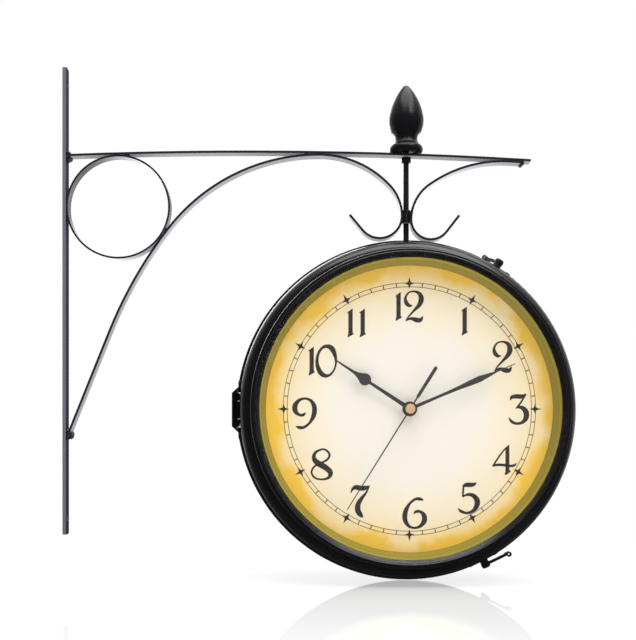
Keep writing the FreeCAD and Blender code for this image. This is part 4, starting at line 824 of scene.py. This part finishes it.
def print_dial(side, dial):
    """Minute ring, hour marks and twelve drawn numerals as one thin layer of ink."""
    bm = bmesh.new()
    height = DIAL_PRINT_DEPTH + PRINT_LIFT
    draw_circle(bm, dial.ring_outer, dial.line_width, height)
    draw_circle(bm, dial.ring_inner, dial.line_width, height)
    for minute in range(60):
        turn = math.tau * minute / 60
        if minute % 5:
            draw_tick(bm, turn, dial.ring_inner, dial.ring_outer, dial.line_width * TICK_GAIN,
                      height)
        else:
            draw_star(bm, turn, (dial.ring_inner + dial.ring_outer) / 2 + STAR_OUT, height)
    for figure, *middle in PRINTED:
        draw_figure(bm, figure, middle, height)
    bmesh.ops.recalc_face_normals(bm, faces=bm.faces)
    for face in bm.faces:
        if face.normal.z < 0:
            face.normal_flip()
    bmesh.ops.triangulate(bm, faces=bm.faces)
    mesh = bpy.data.meshes.new(side + "_dial_print")
    bm.to_mesh(mesh)
    bm.free()
    obj = object_from(mesh, side + "_dial_print")
    apply_modifier(obj, "SOLIDIFY", thickness=dial.ink_height, offset=1.0)
    obj.data.transform(clock_matrix(side))
    dress(obj, body_of_side(side), "dial ink", "hand_black")


# --- screws -----------------------------------------------------------------------------
SMALL_SCREW_R = 0.0021  # screws narrower than this have the lower head
LOW_HEAD, HIGH_HEAD = 0.0009, 0.00118
SHANK_SHARE = 0.55  # of the head's radius
FIRST_TURN, NEXT_TURN = 0.3, 0.7  # how the crosses are turned from screw to screw


def cylinder(vertices, radius, depth, middle):
    bpy.ops.mesh.primitive_cylinder_add(vertices=vertices, radius=radius, depth=depth,
                                        location=(0, 0, middle))
    return bpy.context.object


def islands(node):
    """The loose pieces of a CAD node, each as a list of points."""
    obj = copy_node(node, "measured")
    bm = bmesh.new()
    bm.from_mesh(obj.data)
    left = set(bm.verts)
    found = []
    for start in bm.verts:
        if start not in left:
            continue
        left.remove(start)
        stack, members = [start], [start.co.copy()]
        while stack:
            for edge in stack.pop().link_edges:
                for vert in edge.verts:
                    if vert in left:
                        left.remove(vert)
                        stack.append(vert)
                        members.append(vert.co.copy())
        found.append(members)
    bm.free()
    bpy.data.objects.remove(obj)
    return found


def pan_head(name, radius, height, shank_length):
    """A domed screw with a cross in its head. Its seat is at z = 0."""
    head = cylinder(40, radius, height, height / 2)
    edit_mesh(head)
    bpy.ops.mesh.select_mode(type="VERT")
    bpy.ops.mesh.select_all(action="DESELECT")
    bm = bmesh.from_edit_mesh(head.data)
    for vert in bm.verts:
        vert.select = vert.co.z > 0
    for edge in bm.edges:
        edge.select = all(v.select for v in edge.verts)
    bmesh.update_edit_mesh(head.data)
    bpy.ops.mesh.bevel(offset=height * 0.75, segments=5, affect="EDGES", profile=0.6)
    end_edit()
    settle(head)
    for turn in (0.0, math.pi / 2):
        bpy.ops.mesh.primitive_cube_add(size=1.0, location=(0, 0, height))
        cutter = bpy.context.object
        cutter.dimensions = (radius * 1.25, radius * 0.26, height * 1.1)
        cutter.rotation_euler = (0, 0, turn)
        settle(cutter)
        apply_modifier(head, "BOOLEAN", object=cutter, operation="DIFFERENCE", solver="EXACT")
        bpy.data.objects.remove(cutter)
    shank = cylinder(24, radius * SHANK_SHARE, shank_length, -shank_length / 2 + height * 0.2)
    settle(shank)
    screw = join([head, shank], name)
    smooth(screw, 35.0)
    return screw


def set_screws(node, body, slot):
    """Stands a modelled screw in the place of each plain one in a node."""
    pattern = None
    copies = []
    for number, points in enumerate(islands(node)):
        middle = sum(points, Vector()) / len(points)
        out = Vector((middle.x - CLOCK_X, 0.0, middle.z - CLOCK_Z)).normalized()
        reach = [(p - middle).dot(out) for p in points]
        top, bottom = max(reach), min(reach)
        if pattern is None:
            wide = max((p - middle - out * along).length for p, along in zip(points, reach))
            head_height = LOW_HEAD if wide < SMALL_SCREW_R else HIGH_HEAD
            pattern = pan_head(node + "_pattern", wide, head_height, top - bottom - head_height)
        middle.y = (max(p.y for p in points) + min(p.y for p in points)) / 2
        y_axis = Vector((0, 1, 0))
        place = Matrix((y_axis.cross(out), y_axis, out)).transposed().to_4x4()
        place.translation = middle + out * (top - head_height)
        turn = Matrix.Rotation(NEXT_TURN * number + FIRST_TURN, 4, "Z")
        copy = object_from(pattern.data.copy(), f"{node}_{number}")
        copy.data.transform(place @ turn)
        copies.append(copy)
    bpy.data.objects.remove(pattern)
    dress(join(copies, node + "_finished"), body, "blacked steel", slot, node)


# --- works ------------------------------------------------------------------------------
BOSS_R, BOSS_HEIGHT, BOSS_ROUND, BOSS_INSET = 0.0022, 0.0008, 0.00025, 0.0045


def finish_movement(side):
    """Rounds the moulding and stands four corner bosses on its back."""
    body = body_of_side(side)
    finish_rounded(side + "_movement", body, "movement plastic", "movement_plastic", 0.0004, 30.0)
    low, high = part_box("front_movement")
    reach = (high[0] - low[0]) / 2 - BOSS_INSET
    bosses = []
    for across in (-reach, reach):
        for up in (-reach, reach):
            boss = cylinder(28, BOSS_R, BOSS_HEIGHT, BOSS_HEIGHT / 2)
            edit_mesh(boss)
            bpy.ops.mesh.bevel(offset=BOSS_ROUND, segments=2, affect="EDGES")
            end_edit()
            settle(boss)
            place = Matrix.Translation((CLOCK_X + across, high[1], CLOCK_Z + up))
            boss.data.transform(side_turn(side) @ place @ Matrix.Rotation(-math.pi / 2, 4, "X"))
            bosses.append(boss)
    boss = join(bosses, side + "_movement_bosses")
    smooth(boss, 35.0)
    dress(boss, body, "knob plastic", "knob_plastic")


def finish_hands(side):
    for hand in ("hour", "minute", "second"):
        finish_rounded(f"{side}_{hand}_hand", f"{side}_{hand}", "hand paint", "hand_black",
                       0.00009, 30.0)
    finish_smooth(side + "_hand_cap", side + "_second", "brass", "brass", 30.0)


# --- operators --------------------------------------------------------------------------
class ClockOperator:
    bl_options = {"REGISTER", "UNDO"}

    def execute(self, context):
        self.make(context.scene)
        return {"FINISHED"}


class OBJECT_OT_clock_materials(ClockOperator, bpy.types.Operator):
    """Mix the paints, metals, dial ground, glass and plastics"""
    bl_idname = "object.clock_materials"
    bl_label = "Mix materials"

    def make(self, scene):
        make_materials(scene)


class OBJECT_OT_clock_bracket(ClockOperator, bpy.types.Operator):
    """Finish the wall plate, arm, scrolls, ring, guide and welds"""
    bl_idname = "object.clock_bracket"
    bl_label = "Bracket"

    def make(self, scene):
        finish_strips(scene.clock_paint.edge_round)
        finish_welds()


class OBJECT_OT_clock_hanger(ClockOperator, bpy.types.Operator):
    """Finish the hanging rod, finial, nuts and clip"""
    bl_idname = "object.clock_hanger"
    bl_label = "Hanger and finial"

    def make(self, scene):
        finish_smooth("finial", "head", "finial paint", "black_case", 60.0)
        finish_smooth("hanger_rod", "head", "fitting paint", "rod_steel")
        finish_rounded("swivel_nut", "head", "fitting paint", "rod_steel")
        finish_rounded("clip_nuts", "head", "zinc plate", "zinc_steel")
        finish_rounded("hanger_clip", "head", "zinc plate", "zinc_steel")
        set_screws("clip_screws", "head", "black_case")


class OBJECT_OT_clock_case(ClockOperator, bpy.types.Operator):
    """Finish both case halves and turn their bezels"""
    bl_idname = "object.clock_case"
    bl_label = "Case and bezels"

    def make(self, scene):
        for side in SIDES:
            finish_case(side)
            finish_bezel(side)


class OBJECT_OT_clock_dials(ClockOperator, bpy.types.Operator):
    """Age the dials, print them, and set trim rings and glasses"""
    bl_idname = "object.clock_dials"
    bl_label = "Dials"

    def make(self, scene):
        for side in SIDES:
            paint_node(side + "_dial", side + " dial paper")
            paint_node(side + "_glass", "window glass")
            finish_smooth(side + "_dial_trim", body_of_side(side), "trim paint", "trim_gold", 30.0)
            print_dial(side, scene.clock_dial)


class OBJECT_OT_clock_works(ClockOperator, bpy.types.Operator):
    """Finish the movements, nuts, gaskets, cells, knobs and hands"""
    bl_idname = "object.clock_works"
    bl_label = "Works and hands"

    def make(self, scene):
        for side in SIDES:
            body = body_of_side(side)
            finish_movement(side)
            finish_hands(side)
            finish_smooth(side + "_dial_nut", body, "brass", "brass")
            finish_smooth(side + "_gasket", body, "gasket rubber", "rubber")
            finish_smooth(side + "_battery", body, "cell sleeve", "battery_can")
            finish_rounded(side + "_setting_knob", side + "_knob", "knob plastic", "knob_plastic")


class OBJECT_OT_clock_hinge(ClockOperator, bpy.types.Operator):
    """Finish the hinge leaves, pin and screws"""
    bl_idname = "object.clock_hinge"
    bl_label = "Hinge"

    def make(self, scene):
        for side in SIDES:
            body = body_of_side(side)
            finish_rounded(side + "_hinge_leaf", body, "fitting paint", "black_case")
            set_screws(side + "_hinge_screws", body, "zinc_steel")
        finish_smooth("hinge_pin", "head", "blacked steel", "zinc_steel")


class OBJECT_OT_clock_latches(ClockOperator, bpy.types.Operator):
    """Finish the latch plates, hooks, rivets and screws"""
    bl_idname = "object.clock_latches"
    bl_label = "Latches"

    def make(self, scene):
        for place in ("upper", "lower"):
            for kind, body in (("pivot_plate", "door"), ("catch_plate", "head"),
                               ("hook", place + "_hook")):
                finish_rounded(f"{place}_{kind}", body, "fitting paint", "black_case", 0.00018)
        for side in SIDES:
            set_screws(side + "_latch_screws", body_of_side(side), "zinc_steel")
        finish_smooth("hook_rivets", "door", "blacked steel", "zinc_steel", 50.0)


# --- stage ------------------------------------------------------------------------------
WHITE = (1.0, 1.0, 1.0, 1.0)
ROOM_LIGHT = 0.62  # how brightly the room lights what isn't a mirror
ROOM_DIMMEST = 0.03
FLOOR_SIZE = 12.0
FLOOR_GREY = (0.52, 0.52, 0.525, 1.0)
FLOOR_GLOW = 0.76  # with what the floor mirrors, it stays white at every angle
FLOOR_IOR = 1.5
CLEAR_ROUND_CLOCK = 0.16  # the floor shows its reflections this near, then fades to white


def white_world():
    """Lights plainly from all round; the camera, metal and glass see a white room, dim in front."""
    world = bpy.data.worlds.new("studio")
    bpy.context.scene.world = world
    world.use_nodes = True
    world.node_tree.nodes.clear()
    n = Nodes(world.node_tree)
    direction = n.add("ShaderNodeTexCoord").outputs["Generated"]
    overhead = n.times(n.highest(n.part(direction, "Z"), 0.0), 0.62)
    room = n.plus(n.scaled(n.part(direction, "Y"), 0.9, 0.08), overhead, True)
    room = n.highest(room, ROOM_DIMMEST)
    path, seen = n.rays()
    strength = n.highest(seen, n.times(path["Is Glossy Ray"], room))
    others = n.math("SUBTRACT", 1.0, n.highest(seen, path["Is Glossy Ray"]))
    total = n.plus(strength, n.times(others, ROOM_LIGHT))
    background = n.add("ShaderNodeBackground", {"Color": WHITE, "Strength": total})
    n.add("ShaderNodeOutputWorld", {"Surface": background.outputs[0]})


def white_floor(height):
    """A floor that mirrors the clock close by, is plain white further off and mirrors darkly."""
    bpy.ops.mesh.primitive_plane_add(size=FLOOR_SIZE, location=(0, 0, height))
    floor = bpy.context.object
    floor.name = "studio_floor"
    n, shader, out = new_material("studio floor")
    fresnel = n.add("ShaderNodeFresnel", {"IOR": FLOOR_IOR}).outputs[0]
    n.feed(shader, {"Base Color": FLOOR_GREY, "Emission Color": WHITE, "Roughness": 0.035,
                    "Emission Strength": n.math("SUBTRACT", FLOOR_GLOW, fresnel, clamp=True),
                    "Specular IOR Level": 0.9})
    place = centred_coordinates(n)
    away = n.vector("DISTANCE", place, (CLOCK_X, 0.0, 0.0))
    fade = n.above(away, CLEAR_ROUND_CLOCK, 2.6)
    path, seen = n.rays()
    behind = n.math("MINIMUM", n.scaled(n.part(place, "Y"), 1.2, 0.04, True), 0.75)
    strength = n.highest(seen, n.times(path["Is Glossy Ray"], behind))
    glow = n.add("ShaderNodeEmission", {"Color": WHITE, "Strength": strength})
    amount = n.times(seen, n.scaled(fade, 0.78, 0.22))
    replaced = n.highest(amount, path["Is Glossy Ray"])
    mixed = n.add("ShaderNodeMixShader", {0: replaced, 1: shader.outputs[0], 2: glow.outputs[0]})
    n.feed(out, {"Surface": mixed.outputs[0]})
    floor.data.materials.append(MATERIALS["studio floor"])


def panel_light(name, place, target, size, watts):
    lamp = bpy.data.lights.new(name, "AREA")
    lamp.shape = "RECTANGLE"
    lamp.size, lamp.size_y = size
    lamp.energy = watts
    obj = bpy.data.objects.new(name, lamp)
    bpy.context.scene.collection.objects.link(obj)
    obj.location = place
    obj.rotation_euler = (Vector(target) - Vector(place)).to_track_quat("-Z", "Y").to_euler()


class OBJECT_OT_clock_stage(ClockOperator, bpy.types.Operator):
    """Lay the floor, light it and set the camera"""
    bl_idname = "object.clock_stage"
    bl_label = "Stage"

    def make(self, scene):
        stage = scene.clock_stage
        white_world()
        white_floor(CASE_BOTTOM - stage.floor_gap)
        middle = (CLOCK_X, 0.0, CLOCK_Z)
        panel_light("overhead panel", (0.35, -0.25, 1.1), middle, (1.3, 1.0), stage.key_watts)
        panel_light("front panel", (1.15, -1.3, 1.5), middle, (0.8, 0.8), stage.fill_watts)
        panel_light("rear panel", (-0.3, 1.5, 0.7), middle, (1.0, 1.0), stage.fill_watts)
        camera = bpy.data.cameras.new("camera")
        camera.sensor_fit = "HORIZONTAL"
        camera.sensor_width = SENSOR
        camera.lens = FOCAL_PIXELS / IMAGE_WIDTH * SENSOR
        camera.shift_y = OPTICAL_AXIS_BELOW_MIDDLE / IMAGE_WIDTH
        obj = bpy.data.objects.new("camera", camera)
        scene.collection.objects.link(obj)
        obj.location = CAMERA_AT
        obj.rotation_euler = (math.pi / 2, 0.0, 0.0)
        scene.camera = obj
        scene.view_settings.view_transform = "Standard"


class VIEW3D_PT_station_clock(bpy.types.Panel):
    """Lists the clock's pieces in the order they are made"""
    bl_label = "Station clock"
    bl_idname = "VIEW3D_PT_station_clock"
    bl_space_type = "VIEW_3D"
    bl_region_type = "UI"
    bl_category = "Station clock"

    def draw(self, context):
        for operator in OPERATORS:
            self.layout.operator(operator.bl_idname)
        for settings, group in SETTINGS:
            box = self.layout.box()
            for name in group.__annotations__:
                box.prop(getattr(context.scene, settings), name)


OPERATORS = (OBJECT_OT_clock_materials, OBJECT_OT_clock_bracket, OBJECT_OT_clock_hanger,
             OBJECT_OT_clock_case, OBJECT_OT_clock_dials, OBJECT_OT_clock_works,
             OBJECT_OT_clock_hinge, OBJECT_OT_clock_latches, OBJECT_OT_clock_stage)
SETTINGS = (("clock_paint", PaintSettings), ("clock_dial", DialSettings),
            ("clock_metal", MetalSettings), ("clock_stage", StageSettings))


def register():
    for name, group in SETTINGS:
        bpy.utils.register_class(group)
        setattr(bpy.types.Scene, name, bpy.props.PointerProperty(type=group))
    for operator in OPERATORS:
        bpy.utils.register_class(operator)
    bpy.utils.register_class(VIEW3D_PT_station_clock)


def unregister():
    bpy.utils.unregister_class(VIEW3D_PT_station_clock)
    for operator in reversed(OPERATORS):
        bpy.utils.unregister_class(operator)
    for name, group in reversed(SETTINGS):
        delattr(bpy.types.Scene, name)
        bpy.utils.unregister_class(group)


def main():
    register()
    deselect()
    bpy.ops.object.clock_materials()
    bpy.ops.object.clock_bracket()
    bpy.ops.object.clock_hanger()
    bpy.ops.object.clock_case()
    bpy.ops.object.clock_dials()
    bpy.ops.object.clock_works()
    bpy.ops.object.clock_hinge()
    bpy.ops.object.clock_latches()
    bpy.ops.object.clock_stage()
    bpy.context.view_layer.update()


if __name__ == "__main__":
    main()
